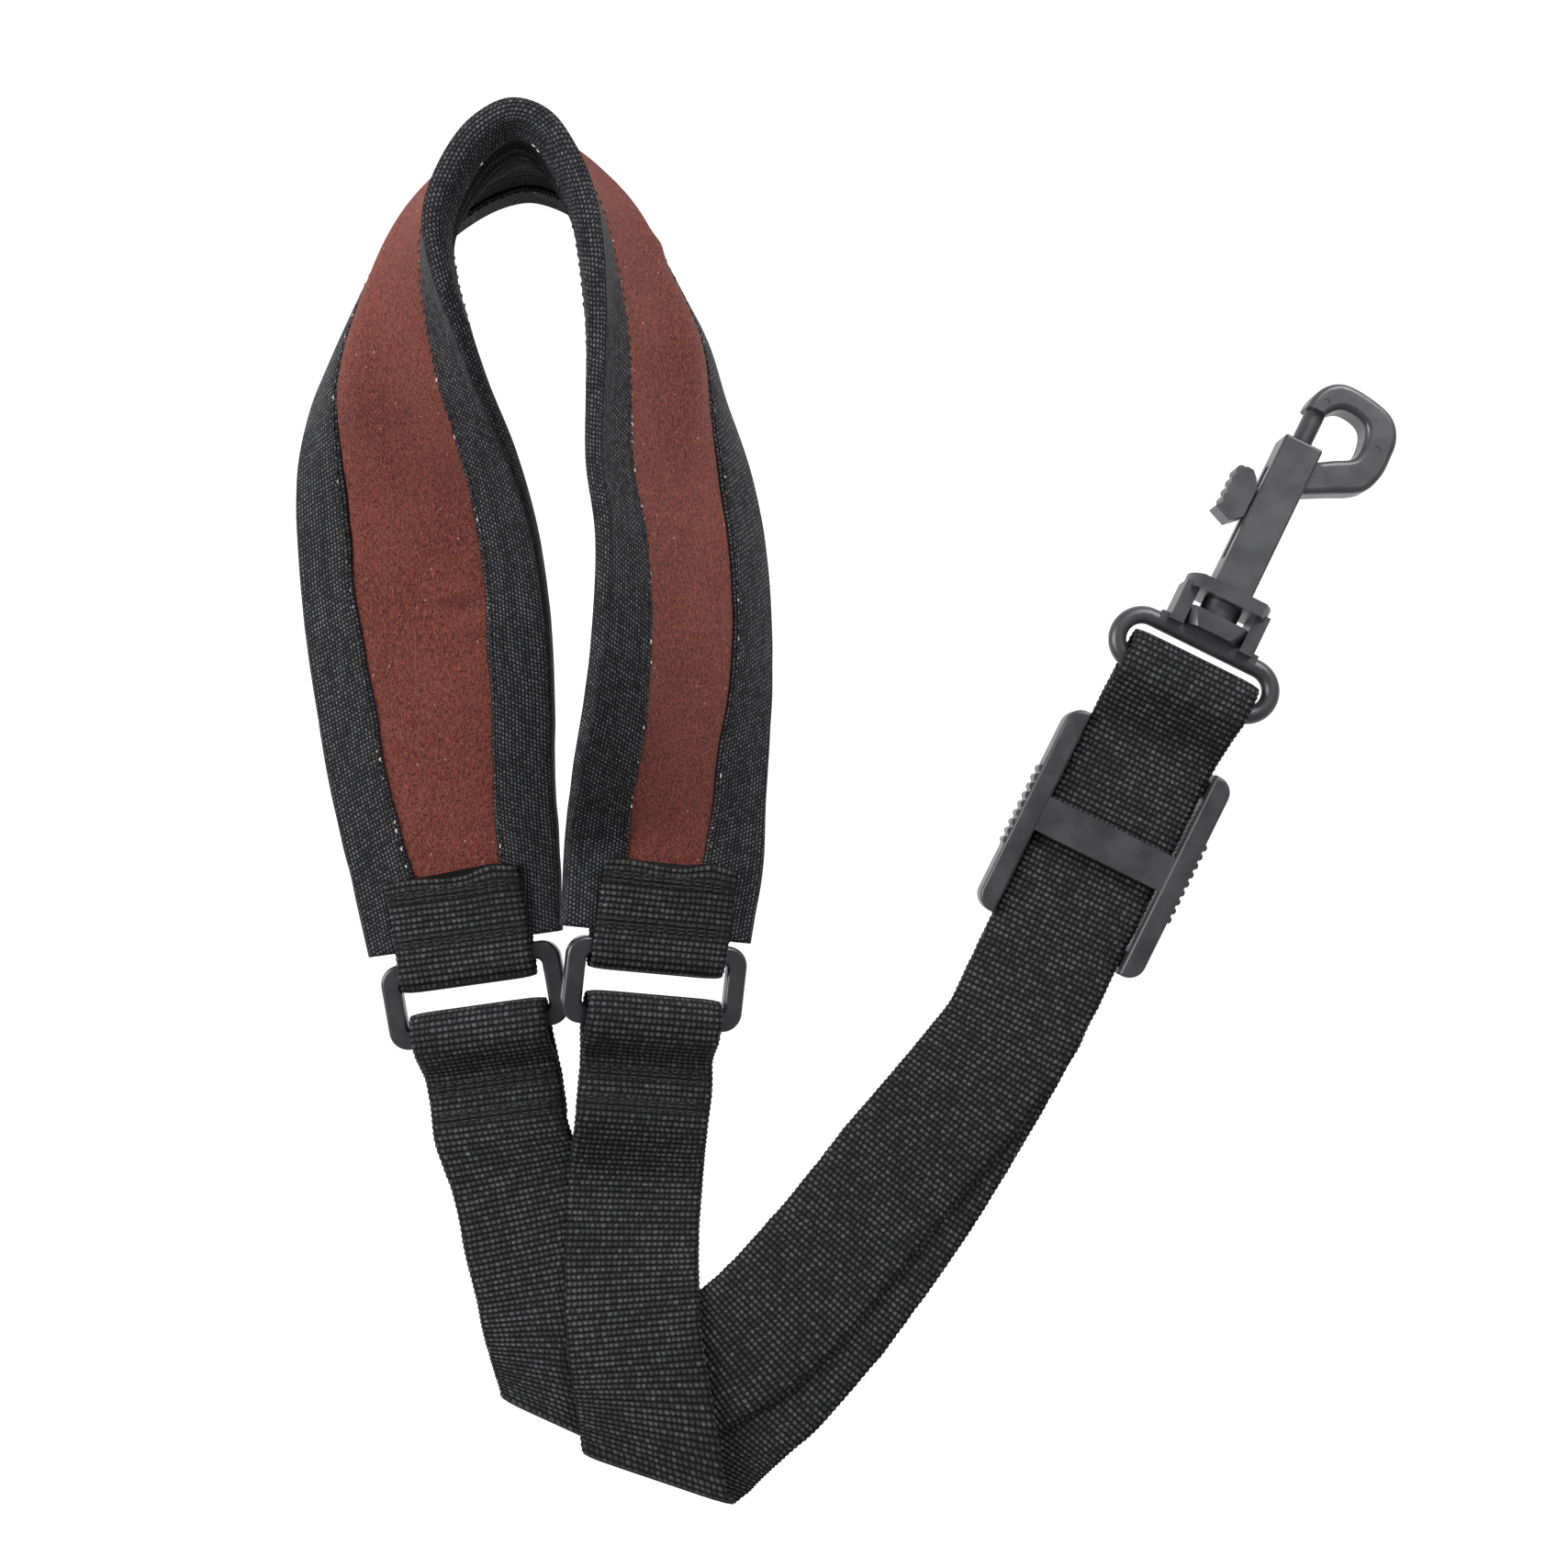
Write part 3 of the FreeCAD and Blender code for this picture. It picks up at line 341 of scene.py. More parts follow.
def pressed(ribbon, rows):
    """How much each cut of a ribbon is pressed down by the rows of stitches that cross it."""
    middles = ribbon.start + ribbon.across * (ribbon.width / 2)[:, None]
    dip = np.zeros(len(middles))
    for side, down in rows:
        from_end = (middles - side["end"].origin) @ side["end"].down
        aside = (middles - side["end"].origin) @ side["end"].right
        near = np.exp(-(((from_end - down) / ROW_PRESS) ** 4)) * (np.abs(aside) < WEB_WIDTH / 2)
        dip = np.maximum(dip, near)
    return dip


def webbing_mesh(name, stations, rows=(), ragged=0.0):
    """Ribbed webbing: weft ribs on both faces, notched edges, and dips where it is sewn through.

    rows are the (side, down) of rows of stitches; ragged is how uneven its first cut is.
    """
    rng = np.random.default_rng(SEED)
    ribbon = Ribbon(every(smooth_rows(stations, 0.5), RIB_PITCH / RIB_CUTS))
    run = ribbon.run
    shares = 0.5 - 0.5 * np.cos(np.linspace(0, math.pi, WEB_COLUMNS))
    shares = 0.5 * shares + 0.5 * np.linspace(0, 1, WEB_COLUMNS)
    edge = np.abs(2 * shares - 1)
    crown = 1 - EDGE_THINNING * edge**10
    ribs = -waves(run, RIB_PITCH)
    dip = pressed(ribbon, rows)
    uneven = wander(run, rng, RIB_PITCH, 0.04)
    half = WEB_THICK / 2 - RIB_DEPTH * (1 - dip) / 2 - ROW_DIP * dip
    rise = RIB_DEPTH * (1 - 0.7 * dip) / 2 * ribs
    top = (half + rise + uneven)[:, None] * crown
    low = (half + rise - uneven)[:, None] * crown
    notch = SCALLOP * ribs
    a_shift = notch[:, None]
    b_shift = notch[:, None]
    for reach, depth in EDGE_WANDERS:
        a_shift = a_shift + wander(run, rng, reach, depth)[:, None]
    for reach, depth in EDGE_WANDERS:
        b_shift = b_shift + wander(run, rng, reach, depth)[:, None]
    across = ribbon.width[:, None] * shares - a_shift * (1 - shares) ** 6 + b_shift * shares**6
    points_top = ribbon.points(across, top)
    points_low = ribbon.points(across, -low)
    if ragged:
        tuft = np.exp(-(((shares - TUFT_PLACE) / TUFT_SPREAD) ** 2))
        bump = ragged * (np.sin(shares * 9.0) * 0.4 + tuft)
        fade = np.exp(-run / CUT_FADE)[:, None]
        offset = -ribbon.travel[:, None] * (fade * bump)[..., None]
        points_top += offset
        points_low += offset
    points = np.concatenate([points_top, points_low[:, ::-1]], axis=1)
    turn = WEB_WIDTH + WEB_THICK
    around = np.concatenate([shares * WEB_WIDTH, turn + (1 - shares[::-1]) * WEB_WIDTH, [turn * 2]])
    mesh = loft(name, points, run, around)
    mesh.attributes.new("pressed", "FLOAT", "POINT")
    mesh.attributes["pressed"].data.foreach_set("value", np.repeat(dip, points.shape[1]).astype(np.float32))
    return mesh, ribbon


class EndFrame:
    """Directions at one end of the neck band: right along its end edge, down away from it, and up."""

    def __init__(self, left_corner, right_corner, down):
        self.origin = (left_corner + right_corner) * 0.5
        self.right = unit(right_corner - left_corner)
        self.down = unit(down - self.right * down.dot(self.right))
        self.up = np.cross(self.down, self.right)

    def line(self, middle_right, down, up):
        point = self.origin + self.right * middle_right + self.down * down + self.up * up
        half = self.right * (WEB_WIDTH / 2)
        return point - half, point + half


def left_end():
    outer, inner = (vec(*p) for p in PAD_LEFT[0])
    next_outer, next_inner = (vec(*p) for p in PAD_LEFT[1])
    return EndFrame(outer, inner, outer + inner - next_outer - next_inner)


def right_end():
    outer, inner = (vec(*p) for p in PAD_RIGHT[-1])
    last_outer, last_inner = (vec(*p) for p in PAD_RIGHT[-2])
    return EndFrame(inner, outer, outer + inner - last_outer - last_inner)


LEFT_SIDE = {
    "end": left_end(), "down": 9.7, "tab": -0.25, "lift": 0.2, "under_lift": 0.0, "strap": 0.75, "veer": 0.7,
}
RIGHT_SIDE = {
    "end": right_end(), "down": 9.2, "tab": 0.6, "lift": 0.7, "under_lift": 0.8, "strap": 0.8, "veer": 1.2,
}


def half_turn(middle_down, radius, middle_up, start):
    result = []
    for step in range(FOLD_STEPS + 1):
        angle = math.pi * step / FOLD_STEPS
        result.append((
            middle_down + start * radius * math.sin(angle),
            middle_up + start * radius * math.cos(angle),
        ))
    return result


def tab_stations(side):
    fold = side["down"] - RING_FOLD_TIP - RING_FOLD_RADIUS - WEB_THICK / 2
    path = [(-TAB_REACH, RING_FOLD_RADIUS + side["lift"]), (0.0, RING_FOLD_RADIUS)]
    path += half_turn(fold, RING_FOLD_RADIUS, 0.0, 1)
    path += [(0.0, -RING_FOLD_RADIUS), (-TAB_UNDER_REACH, -RING_FOLD_RADIUS - side["under_lift"])]
    return [side["end"].line(side["tab"], down, up) for down, up in path]


def strap_offset(side, down):
    return side["strap"] + side["veer"] * smooth_step((down - VEER_FROM) / VEER_REACH)


def loop_stations(side):
    low = -RING_FOLD_RADIUS
    joined = low + WEB_THICK + LAYER_GAP
    radius = (STRAP_LOOP_TOP - low) / 2
    path = [(down, low) for down in STRAP_UNDER]
    path += half_turn(RING_FOLD_TIP + radius + WEB_THICK / 2, radius, low + radius, -1)
    path += [(down, joined + rise) for down, rise in STRAP_DESCENT]
    return [side["end"].line(strap_offset(side, down), side["down"] + down, up) for down, up in path]


def web_line(x, y, a_height, b_height, angle, length):
    turn = math.radians(angle)
    half = vec(math.cos(turn), math.sin(turn), 0) * (length / 2)
    return vec(x, y, a_height) - half, vec(x, y, b_height) + half


def soft_fold(fold, bottoms, slide):
    a_top, b_top, angle = fold[2:5]
    turn = math.radians(angle)
    along = vec(math.cos(turn), math.sin(turn), 0)
    out = vec(math.sin(turn), -math.cos(turn), 0)
    edges = web_line(*fold)
    radii = [(top - bottom) / 2 for top, bottom in zip((a_top, b_top), bottoms)]
    mean = sum(radii) / 2
    rows = []
    for step in range(FOLD_STEPS + 1):
        angle = math.pi * step / FOLD_STEPS
        rows.append(tuple(
            edge + along * (slide * mean * angle) + out * (radius * math.sin(angle))
            - UP * (radius * (1 - math.cos(angle)))
            for edge, radius in zip(edges, radii)
        ))
    return rows


def on_line(across, along, height):
    heading = math.radians(LINE_HEADING)
    return vec(
        LINE_START[0] + across * math.cos(heading) + along * math.sin(heading),
        LINE_START[1] + along * math.cos(heading) - across * math.sin(heading),
        height,
    )


# The webbing's route through the slider and round the base's bar: (along, height).
UPPER_ROUTE = (
    (-38.0, 4.0), (-32.0, SLIDER_WEB_HIGH), (0.0, SLIDER_WEB_HIGH), (18.0, SLIDER_WEB_HIGH),
    (22.0, 4.6), (27.0, 7.3), (30.5, BAR_HEIGHT + FOLD_RADIUS - 0.2),
)
LOWER_ROUTE = (
    (30.5, BAR_HEIGHT - FOLD_RADIUS), (25.0, 3.0), (18.0, SLIDER_WEB_LOW), (0.0, SLIDER_WEB_LOW),
    (-32.0, SLIDER_WEB_LOW),
)


def hardware_stretch():
    """Stations through the slider, round the base's bar and back through the slider."""
    turn = []
    for step in range(FOLD_STEPS + 1):
        angle = math.pi * step / FOLD_STEPS
        along = BAR_ALONG + FOLD_OFFSET + FOLD_RADIUS * math.sin(angle)
        turn.append((along, BAR_HEIGHT + FOLD_RADIUS * math.cos(angle)))
    half = WEB_WIDTH / 2
    return [
        (on_line(-half, along, height), on_line(half, along, height))
        for along, height in (*UPPER_ROUTE, *turn, *LOWER_ROUTE)
    ]


def strap_stations():
    rows = loop_stations(LEFT_SIDE)
    rows += [web_line(*station) for station in LEFT_RUN]
    rows += soft_fold(LEFT_FOLD, LEFT_FOLD_BOTTOM, LEFT_FOLD_SLIDE)
    rows += [web_line(*station) for station in UPPER_DIAGONAL]
    rows += hardware_stretch()
    rows += [web_line(*station) for station in LOWER_DIAGONAL]
    rows += reversed(soft_fold(RIGHT_FOLD, RIGHT_FOLD_BOTTOM, RIGHT_FOLD_SLIDE))
    rows += [web_line(*station) for station in RIGHT_RUN]
    rows += reversed(loop_stations(RIGHT_SIDE))
    return rows


# ---- stitches -----------------------------------------------------------------------------------
STITCH_SIDES = 6


def stitch_mesh(name, stitches, radius):
    """Threads, each a short bar with rounded ends lying on the cloth: (middle, along, up, length)."""
    angles = np.arange(STITCH_SIDES) * 2 * math.pi / STITCH_SIDES
    stops = ((-0.5, 0.35, -0.7), (-0.36, 0.9, 0.0), (0.0, 1.0, 0.35), (0.36, 0.9, 0.0), (0.5, 0.35, -0.7))
    verts, faces = [], []
    for middle, along, up, length in stitches:
        side = np.cross(up, along)
        first = len(verts)
        for place, girth, lift in stops:
            centre = middle + along * (place * length) + up * (lift * radius)
            for angle in angles:
                arm = side * math.cos(angle) + up * math.sin(angle)
                verts.append((centre + arm * (radius * girth) + np.array(PLAN_SHIFT)) * MM)
        for ring in range(len(stops) - 1):
            for k in range(STITCH_SIDES):
                after = (k + 1) % STITCH_SIDES
                base = first + ring * STITCH_SIDES
                faces.append((base + k, base + after, base + STITCH_SIDES + after, base + STITCH_SIDES + k))
        last = first + (len(stops) - 1) * STITCH_SIDES
        faces.append(tuple(first + k for k in reversed(range(STITCH_SIDES))))
        faces.append(tuple(last + k for k in range(STITCH_SIDES)))
    mesh = bpy.data.meshes.new(name)
    mesh.from_pydata([tuple(v) for v in verts], [], faces)
    mesh.polygons.foreach_set("use_smooth", np.ones(len(mesh.polygons), dtype=bool))
    mesh.update()
    turn_outwards(mesh)
    return mesh


def cross_rows(side, offset, rows, rng):
    """Stitches of rows sewn across the webbing, each row three lines of thread."""
    stitches = []
    end = side["end"]
    for down, up in rows:
        for line in CROSS_LINES:
            for k in range(int(ROW_LENGTH / CROSS_PITCH)):
                place = -ROW_LENGTH / 2 + (k + 0.5) * CROSS_PITCH + rng.uniform(-0.12, 0.12)
                lateral = down + line + rng.uniform(-0.08, 0.08)
                middle = end.origin + end.right * (offset + place) + end.down * lateral + end.up * up
                along = unit(end.right + end.down * rng.uniform(-0.12, 0.12))
                stitches.append((middle, along, end.up, CROSS_LENGTH))
    return stitches


# ---- neck band ----------------------------------------------------------------------------------
def pad_ribbon(step):
    stations = [tuple(vec(*p) for p in pair) for pair in PAD_LEFT + (PAD_TOP,) + PAD_RIGHT]
    return Ribbon(every(smooth_rows(stations, 0.5), step))


# Dents and ridges pressed into the suede: middle x, y, angle, length, width, height.
SUEDE_MARKS = (
    (-69.5, 34.2, -6, 5.5, 1.1, -1.1),
    (-70.0, 36.6, -6, 6.5, 1.3, 0.8),
    (-68.5, 30.5, -4, 5.0, 1.2, 0.35),
    (-36.0, 96.0, 62, 8.0, 1.6, 0.6),
    (-33.0, 92.0, 58, 9.0, 1.8, -0.5),
    (-65.5, 66.0, 72, 13.0, 2.4, -0.7),
    (-30.0, 60.0, 85, 16.0, 4.0, 0.3),
    (-80.0, 5.0, 80, 18.0, 5.0, 0.3),
    (-35.0, 30.0, 95, 16.0, 4.0, -0.25),
)


def relief(points):
    """Height of the marks at points on the band."""
    height = np.zeros(points.shape[:-1])
    for x, y, angle, length, width, rise in SUEDE_MARKS:
        turn = math.radians(angle)
        dx, dy = points[..., 0] - x, points[..., 1] - y
        along = dx * math.cos(turn) + dy * math.sin(turn)
        aside = dy * math.cos(turn) - dx * math.sin(turn)
        height += rise * np.exp(-((along / length) ** 2) - ((aside / width) ** 2))
    return height


# The suede puffs out over its outer seam where the band stands up: how high, and where across it.
PUFF_HEIGHT = 1.3
PUFF_PLACE = 0.34
PUFF_SPREAD = 0.11
# How much of the lining the tape covers, and how far the tape's free edge is pulled down.
LINING_COVER = 4.6
SELVEDGE_DROP = 0.5
# The lining wrinkles into shallow ribs along the band, which wander a little from side to side.
LINING_RIB_PITCH = 3.1
LINING_RIB_DEPTH = 0.5
LINING_RIB_WANDER = 0.3
# Cuts across each face, and how far a face stops short of the band's edges.
SUEDE_COLUMNS = 43
LINING_COLUMNS = 73
PANEL_INSET = 0.8
PANEL_BACK_EVERY = 6
# How deep a face is pulled down where the tape is sewn over it, and over what distance.
TUCK_DEPTH = 0.22
TUCK_REACH = 1.2
BAND_STEP = 0.8
TAPE_COLUMNS = 12
TAPE_INSET = 0.7
SEAM_PITCH = 1.65
SEAM_THREAD = 0.14
CROSS_THREAD = 0.2
CROSS_PITCH = 1.9
CROSS_LENGTH = 1.6
CROSS_LINES = (-0.75, 0.0, 0.75)


class Pad:
    """Heights of the band's layers above its middle surface."""

    def __init__(self, ribbon):
        self.ribbon = ribbon
        from_end = np.minimum(ribbon.run, ribbon.length - ribbon.run)
        self.fill = smooth_step((from_end - TAB_REACH) / FOAM_TAPER)
        self.low_bow = LOW_BOW * smooth_step((from_end - LOW_BOW_START) / LOW_BOW_REACH)
        self.high_bow = HIGH_BOW * smooth_step((from_end - HIGH_BOW_START) / HIGH_BOW_REACH)
        rng = np.random.default_rng(SEED + 1)
        self.swell = wander(ribbon.run, rng, 17.0, 0.16) + wander(ribbon.run, rng, 6.0, 0.07)

    def foam(self, across):
        width = self.ribbon.width[:, None]
        sides = np.clip(np.abs(2 * across / width - 1), 0, 1) ** 2.5
        rise = (FOAM_HALF_MIDDLE - FOAM_HALF_EDGE) * self.fill[:, None] * (1 - sides)
        return FOAM_HALF_EDGE + rise * (1 + self.swell[:, None] * 0.6)

    def skin(self, across):
        return self.foam(across) + LAYER_GAP + SKIN_THICK

    def points(self, across, up):
        """Points above the band's middle, which bows out of the lines between its edges."""
        share = across / self.ribbon.width[:, None]
        lean = self.low_bow[:, None] * (1 - share) + self.high_bow[:, None] * share
        return self.ribbon.points(across, up + BOW_SCALE * share * (1 - share) * lean)


def panel(name, pad, side, columns):
    """One face of the band, from edge to edge, with a flat back at the middle of the foam."""
    ribbon = pad.ribbon
    drift = wander(ribbon.run, np.random.default_rng(SEED + 4), 9.0, 1.0)
    shares = np.linspace(0, 1, columns)
    across = PANEL_INSET + (ribbon.width[:, None] - 2 * PANEL_INSET) * shares
    height = pad.skin(across)
    cover = TAPE_COVER if side > 0 else LINING_COVER
    from_seam = np.minimum(across, ribbon.width[:, None] - across) - cover
    tuck = np.exp(-np.clip(from_seam, 0, None) / TUCK_REACH)
    height = height - TUCK_DEPTH * tuck
    if side > 0:
        puff = np.exp(-(((across / ribbon.width[:, None] - PUFF_PLACE) / PUFF_SPREAD) ** 2))
        height = height + PUFF_HEIGHT * (pad.low_bow[:, None] / LOW_BOW) * puff
        places = pad.points(across, height)
        height = height + relief(places) * (1 - tuck)
    else:
        phase = across / LINING_RIB_PITCH + LINING_RIB_WANDER * drift[:, None]
        height = height - LINING_RIB_DEPTH * (0.5 + 0.5 * np.sin(2 * math.pi * phase)) * (1 - tuck)
    face = pad.points(across, side * height)
    back_across = across[:, ::PANEL_BACK_EVERY]
    back = pad.points(back_across, np.full_like(back_across, side * 0.02))
    points = np.concatenate([face, back[:, ::-1]], axis=1)
    reach = ribbon.width.mean() - 2 * PANEL_INSET
    back_around = reach + 1 + (1 - shares[::PANEL_BACK_EVERY][::-1]) * reach
    around = np.concatenate([shares * reach, back_around, [2 * reach + 2]])
    return loft(name, points, ribbon.run, around)


def tape_mesh(name, pad, inner_edge, rng):
    """The binding tape, folded over one edge of the band, with both of its faces and selvedges."""
    ribbon = pad.ribbon
    run = ribbon.run
    shares = np.linspace(0, 1, TAPE_COLUMNS)
    cover = TAPE_COVER + wander(run, rng, 11.0, 0.35) + wander(run, rng, 3.3, 0.12)
    cover_low = LINING_COVER + wander(run, rng, 11.0, 0.35)
    edge_in = TAPE_INSET

    def face(cover_here, side):
        across = edge_in + (cover_here[:, None] - edge_in) * (1 - shares)
        pucker = 0.05 * waves(run, 3.3)[:, None] * np.exp(-np.abs(cover_here[:, None] - across - 1) / 1.5)
        height = pad.skin(across) + LAYER_GAP + TAPE_THICK + pucker - SELVEDGE_DROP * np.exp(-shares * 14)
        return across, side * height

    top_across, top_up = face(cover, 1)
    low_across, low_up = face(cover_low, -1)
    turn_angles = np.linspace(0, math.pi, 7)[1:-1]
    edge_height = pad.skin(np.full((len(run), 1), edge_in)) + LAYER_GAP + TAPE_THICK
    edge_out = wander(run, rng, 5.0, 0.12)[:, None] + 0.08 * waves(run, 0.8)[:, None]
    edge_across = edge_in - (edge_in + edge_out) * np.sin(turn_angles)
    edge_up = edge_height * np.cos(turn_angles)
    outside_across = np.concatenate([top_across, edge_across, low_across[:, ::-1]], axis=1)
    outside_up = np.concatenate([top_up, edge_up, low_up[:, ::-1]], axis=1)
    inner_shares = np.array([0.0, 0.5, 1.0])
    inside = []
    for cover_here in (cover_low, cover):
        across = edge_in + 0.1 + (cover_here[:, None] - edge_in - 0.1) * (1 - inner_shares)
        inside.append((across, pad.skin(across) - 0.15))
    (low_in_across, low_in_up), (top_in_across, top_in_up) = inside
    ring_across = np.concatenate([outside_across, low_in_across, top_in_across[:, ::-1]], axis=1)
    ring_up = np.concatenate([outside_up, -low_in_up, top_in_up[:, ::-1]], axis=1)
    if inner_edge:
        ring_across = ribbon.width[:, None] - ring_across
    points = pad.points(ring_across, ring_up)
    turn = edge_height.mean()
    low_start = TAPE_COVER + math.pi * turn
    around = np.concatenate([
        shares * TAPE_COVER, TAPE_COVER + turn_angles * turn, low_start + shares * LINING_COVER,
        low_start + TAPE_COVER + np.linspace(5, 35, 7),
    ])
    return loft(name, points, run, around)


def seam_stitches(pad, inner_edge, rng):
    """Stitches along one tape's seam on both faces; the lining's lie deeper than the suede's."""
    ribbon = pad.ribbon
    stitches = []
    first = TAB_REACH + 1
    for side, cover, proud in ((1, TAPE_COVER, 0.02), (-1, LINING_COVER, -0.08)):
        near = np.full((len(ribbon.run), 1), cover - SEAM_INSET)
        seam = ribbon.width[:, None] - near if inner_edge else near
        height = pad.skin(near) + LAYER_GAP + TAPE_THICK + proud
        line = pad.points(seam, side * height)[:, 0]
        for k in range(int((ribbon.length - 2 * first) / SEAM_PITCH)):
            run = first + k * SEAM_PITCH
            across, up, travel = ribbon.at(run)
            middle = np.array([np.interp(run, ribbon.run, line[:, axis]) for axis in range(3)])
            middle += across * rng.uniform(-0.12, 0.12)
            along = unit(travel + across * rng.uniform(-0.15, 0.15))
            stitches.append((middle, along, unit(up) * side, rng.uniform(0.7, 1.0)))
    return stitches


# ---- materials ----------------------------------------------------------------------------------
class Graph:
    """A node material, built from the shader back."""

    def __init__(self, name):
        self.material = bpy.data.materials.new(name)
        self.material.use_nodes = True
        self.nodes = self.material.node_tree.nodes
        self.links = self.material.node_tree.links
        self.shader = self.nodes["Principled BSDF"]

    def node(self, kind, **settings):
        made = self.nodes.new(kind)
        for name, value in settings.items():
            setattr(made, name, value)
        return made

    def feed(self, socket, value):
        if isinstance(value, bpy.types.NodeSocket):
            self.links.new(value, socket)
        else:
            socket.default_value = value

    def maths(self, operation, *values, clamp=False):
        made = self.node("ShaderNodeMath", operation=operation, use_clamp=clamp)
        for socket, value in zip(made.inputs, values):
            self.feed(socket, value)
        return made.outputs[0]

    def weave(self):
        uv = self.node("ShaderNodeUVMap", uv_map="Weave")
        split = self.node("ShaderNodeSeparateXYZ")
        self.links.new(uv.outputs[0], split.inputs[0])
        return split.outputs[0], split.outputs[1]

    def place(self, scale=(1.0, 1.0, 1.0)):
        """Object coordinates in millimetres, stretched by scale."""
        coordinates = self.node("ShaderNodeTexCoord")
        mapping = self.node("ShaderNodeMapping")
        self.links.new(coordinates.outputs["Object"], mapping.inputs["Vector"])
        mapping.inputs["Scale"].default_value = tuple(s / MM for s in scale)
        return mapping.outputs[0]

    def join(self, x, y, z=0.0):
        made = self.node("ShaderNodeCombineXYZ")
        for socket, value in zip(made.inputs, (x, y, z)):
            self.feed(socket, value)
        return made.outputs[0]

    def noise(self, vector, scale, detail=3.0, roughness=0.55):
        made = self.node("ShaderNodeTexNoise")
        self.links.new(vector, made.inputs["Vector"])
        made.inputs["Scale"].default_value = scale
        made.inputs["Detail"].default_value = detail
        made.inputs["Roughness"].default_value = roughness
        return made.outputs["Fac"]

    def scatter(self, vector):
        made = self.node("ShaderNodeTexWhiteNoise", noise_dimensions="2D")
        self.links.new(vector, made.inputs["Vector"])
        return made.outputs["Value"]

    def ramp(self, value, low, high, out_low=0.0, out_high=1.0):
        made = self.node("ShaderNodeMapRange", interpolation_type="SMOOTHSTEP")
        self.links.new(value, made.inputs["Value"])
        made.inputs["From Min"].default_value = low
        made.inputs["From Max"].default_value = high
        made.inputs["To Min"].default_value = out_low
        made.inputs["To Max"].default_value = out_high
        return made.outputs["Result"]

    def blend(self, factor, first, second):
        made = self.node("ShaderNodeMix", data_type="RGBA")
        self.feed(made.inputs[0], factor)
        for socket, value in zip((made.inputs[6], made.inputs[7]), (first, second)):
            self.feed(socket, value if isinstance(value, bpy.types.NodeSocket) else (*value, 1.0))
        return made.outputs[2]

    def bump(self, height, distance, strength=1.0, after=None):
        made = self.node("ShaderNodeBump")
        self.links.new(height, made.inputs["Height"])
        made.inputs["Distance"].default_value = distance * MM
        made.inputs["Strength"].default_value = strength
        if after is not None:
            self.links.new(after, made.inputs["Normal"])
        return made.outputs[0]

    def finish(self, colour, roughness, normal=None, **steady):
        self.feed(self.shader.inputs["Base Color"], colour)
        self.feed(self.shader.inputs["Roughness"], roughness)
        if normal is not None:
            self.links.new(normal, self.shader.inputs["Normal"])
        for name, value in steady.items():
            self.shader.inputs[name.replace("_", " ")].default_value = value
        return self.material


# Sizes of the weaves, in millimetres, and how far each column of the twill lies behind the last.
BEAD_WIDTH = 1.05
TWILL_COLUMN = 0.7
TWILL_BEAD = 0.78
TWILL_STEP = 0.38


def half_wave(graph, value):
    """0 at whole numbers and 1 half way between them."""
    part = graph.maths("FRACT", value)
    return graph.maths("SINE", graph.maths("MULTIPLY", part, math.pi))


def webbing_material():
    """Ribbed nylon: rows of broad beads with painted shade darkening the grooves between them, painted
    glints on the beads, and a few painted highlight specks.
    """
    graph = Graph("Ribbed webbing")
    along, across = graph.weave()
    rows = graph.maths("DIVIDE", along, RIB_PITCH)
    row = graph.maths("FLOOR", rows)
    drift = graph.noise(graph.join(along, across), 0.25, 2.0)
    jog = graph.maths("MULTIPLY", graph.scatter(graph.join(row, 3.0)), 0.35)
    offset = graph.maths("ADD", jog, graph.maths("MULTIPLY", drift, 1.2))
    columns = graph.maths("ADD", graph.maths("DIVIDE", across, BEAD_WIDTH), offset)
    ridge = graph.maths("POWER", half_wave(graph, rows), 0.8)
    gap = graph.maths("POWER", half_wave(graph, columns), 0.6)
    bead = graph.maths("MULTIPLY", ridge, graph.maths("MULTIPLY_ADD", gap, 0.8, 0.2))
    chance = graph.scatter(graph.join(row, graph.maths("FLOOR", columns)))
    patch = graph.noise(graph.join(along, across), 0.11, 2.0)
    lit = graph.ramp(graph.maths("ADD", chance, patch), 0.5, 1.6, 0.2, 1.0)
    fibres = graph.noise(graph.place((5.0, 5.0, 5.0)), 1.0, 3.0, 0.7)
    threads = graph.ramp(fibres, 0.42, 0.66, 0.35, 1.0)
    # Painted highlights: a glint at the crown of each bead, stronger on some beads than on others.
    glint = graph.maths("MULTIPLY", graph.maths("POWER", bead, 3.0), graph.maths("MULTIPLY", lit, threads))
    # Painted shade: the colour darkens in the grooves between the beads.
    body = graph.blend(graph.ramp(bead, 0.35, 0.95), (0.0021, 0.0021, 0.0026), (0.011, 0.0112, 0.0118))
    colour = graph.blend(glint, body, (0.115, 0.116, 0.12))
    # Painted highlights: a few bright specks where single filaments catch the light.
    speck_highlight = graph.maths("MULTIPLY", graph.ramp(chance, 0.93, 0.96), graph.ramp(fibres, 0.6, 0.7))
    colour = graph.blend(graph.maths("MULTIPLY", speck_highlight, bead), colour, (0.3, 0.3, 0.31))
    sewn = graph.node("ShaderNodeAttribute", attribute_name="pressed").outputs["Fac"]
    colour = graph.blend(graph.maths("MULTIPLY", sewn, 0.7), colour, (0.006, 0.006, 0.0065))
    normal = graph.bump(bead, 0.2, 0.9, graph.bump(fibres, 0.08, 0.7))
    return graph.finish(colour, 0.6, normal, Specular_IOR_Level=0.12)


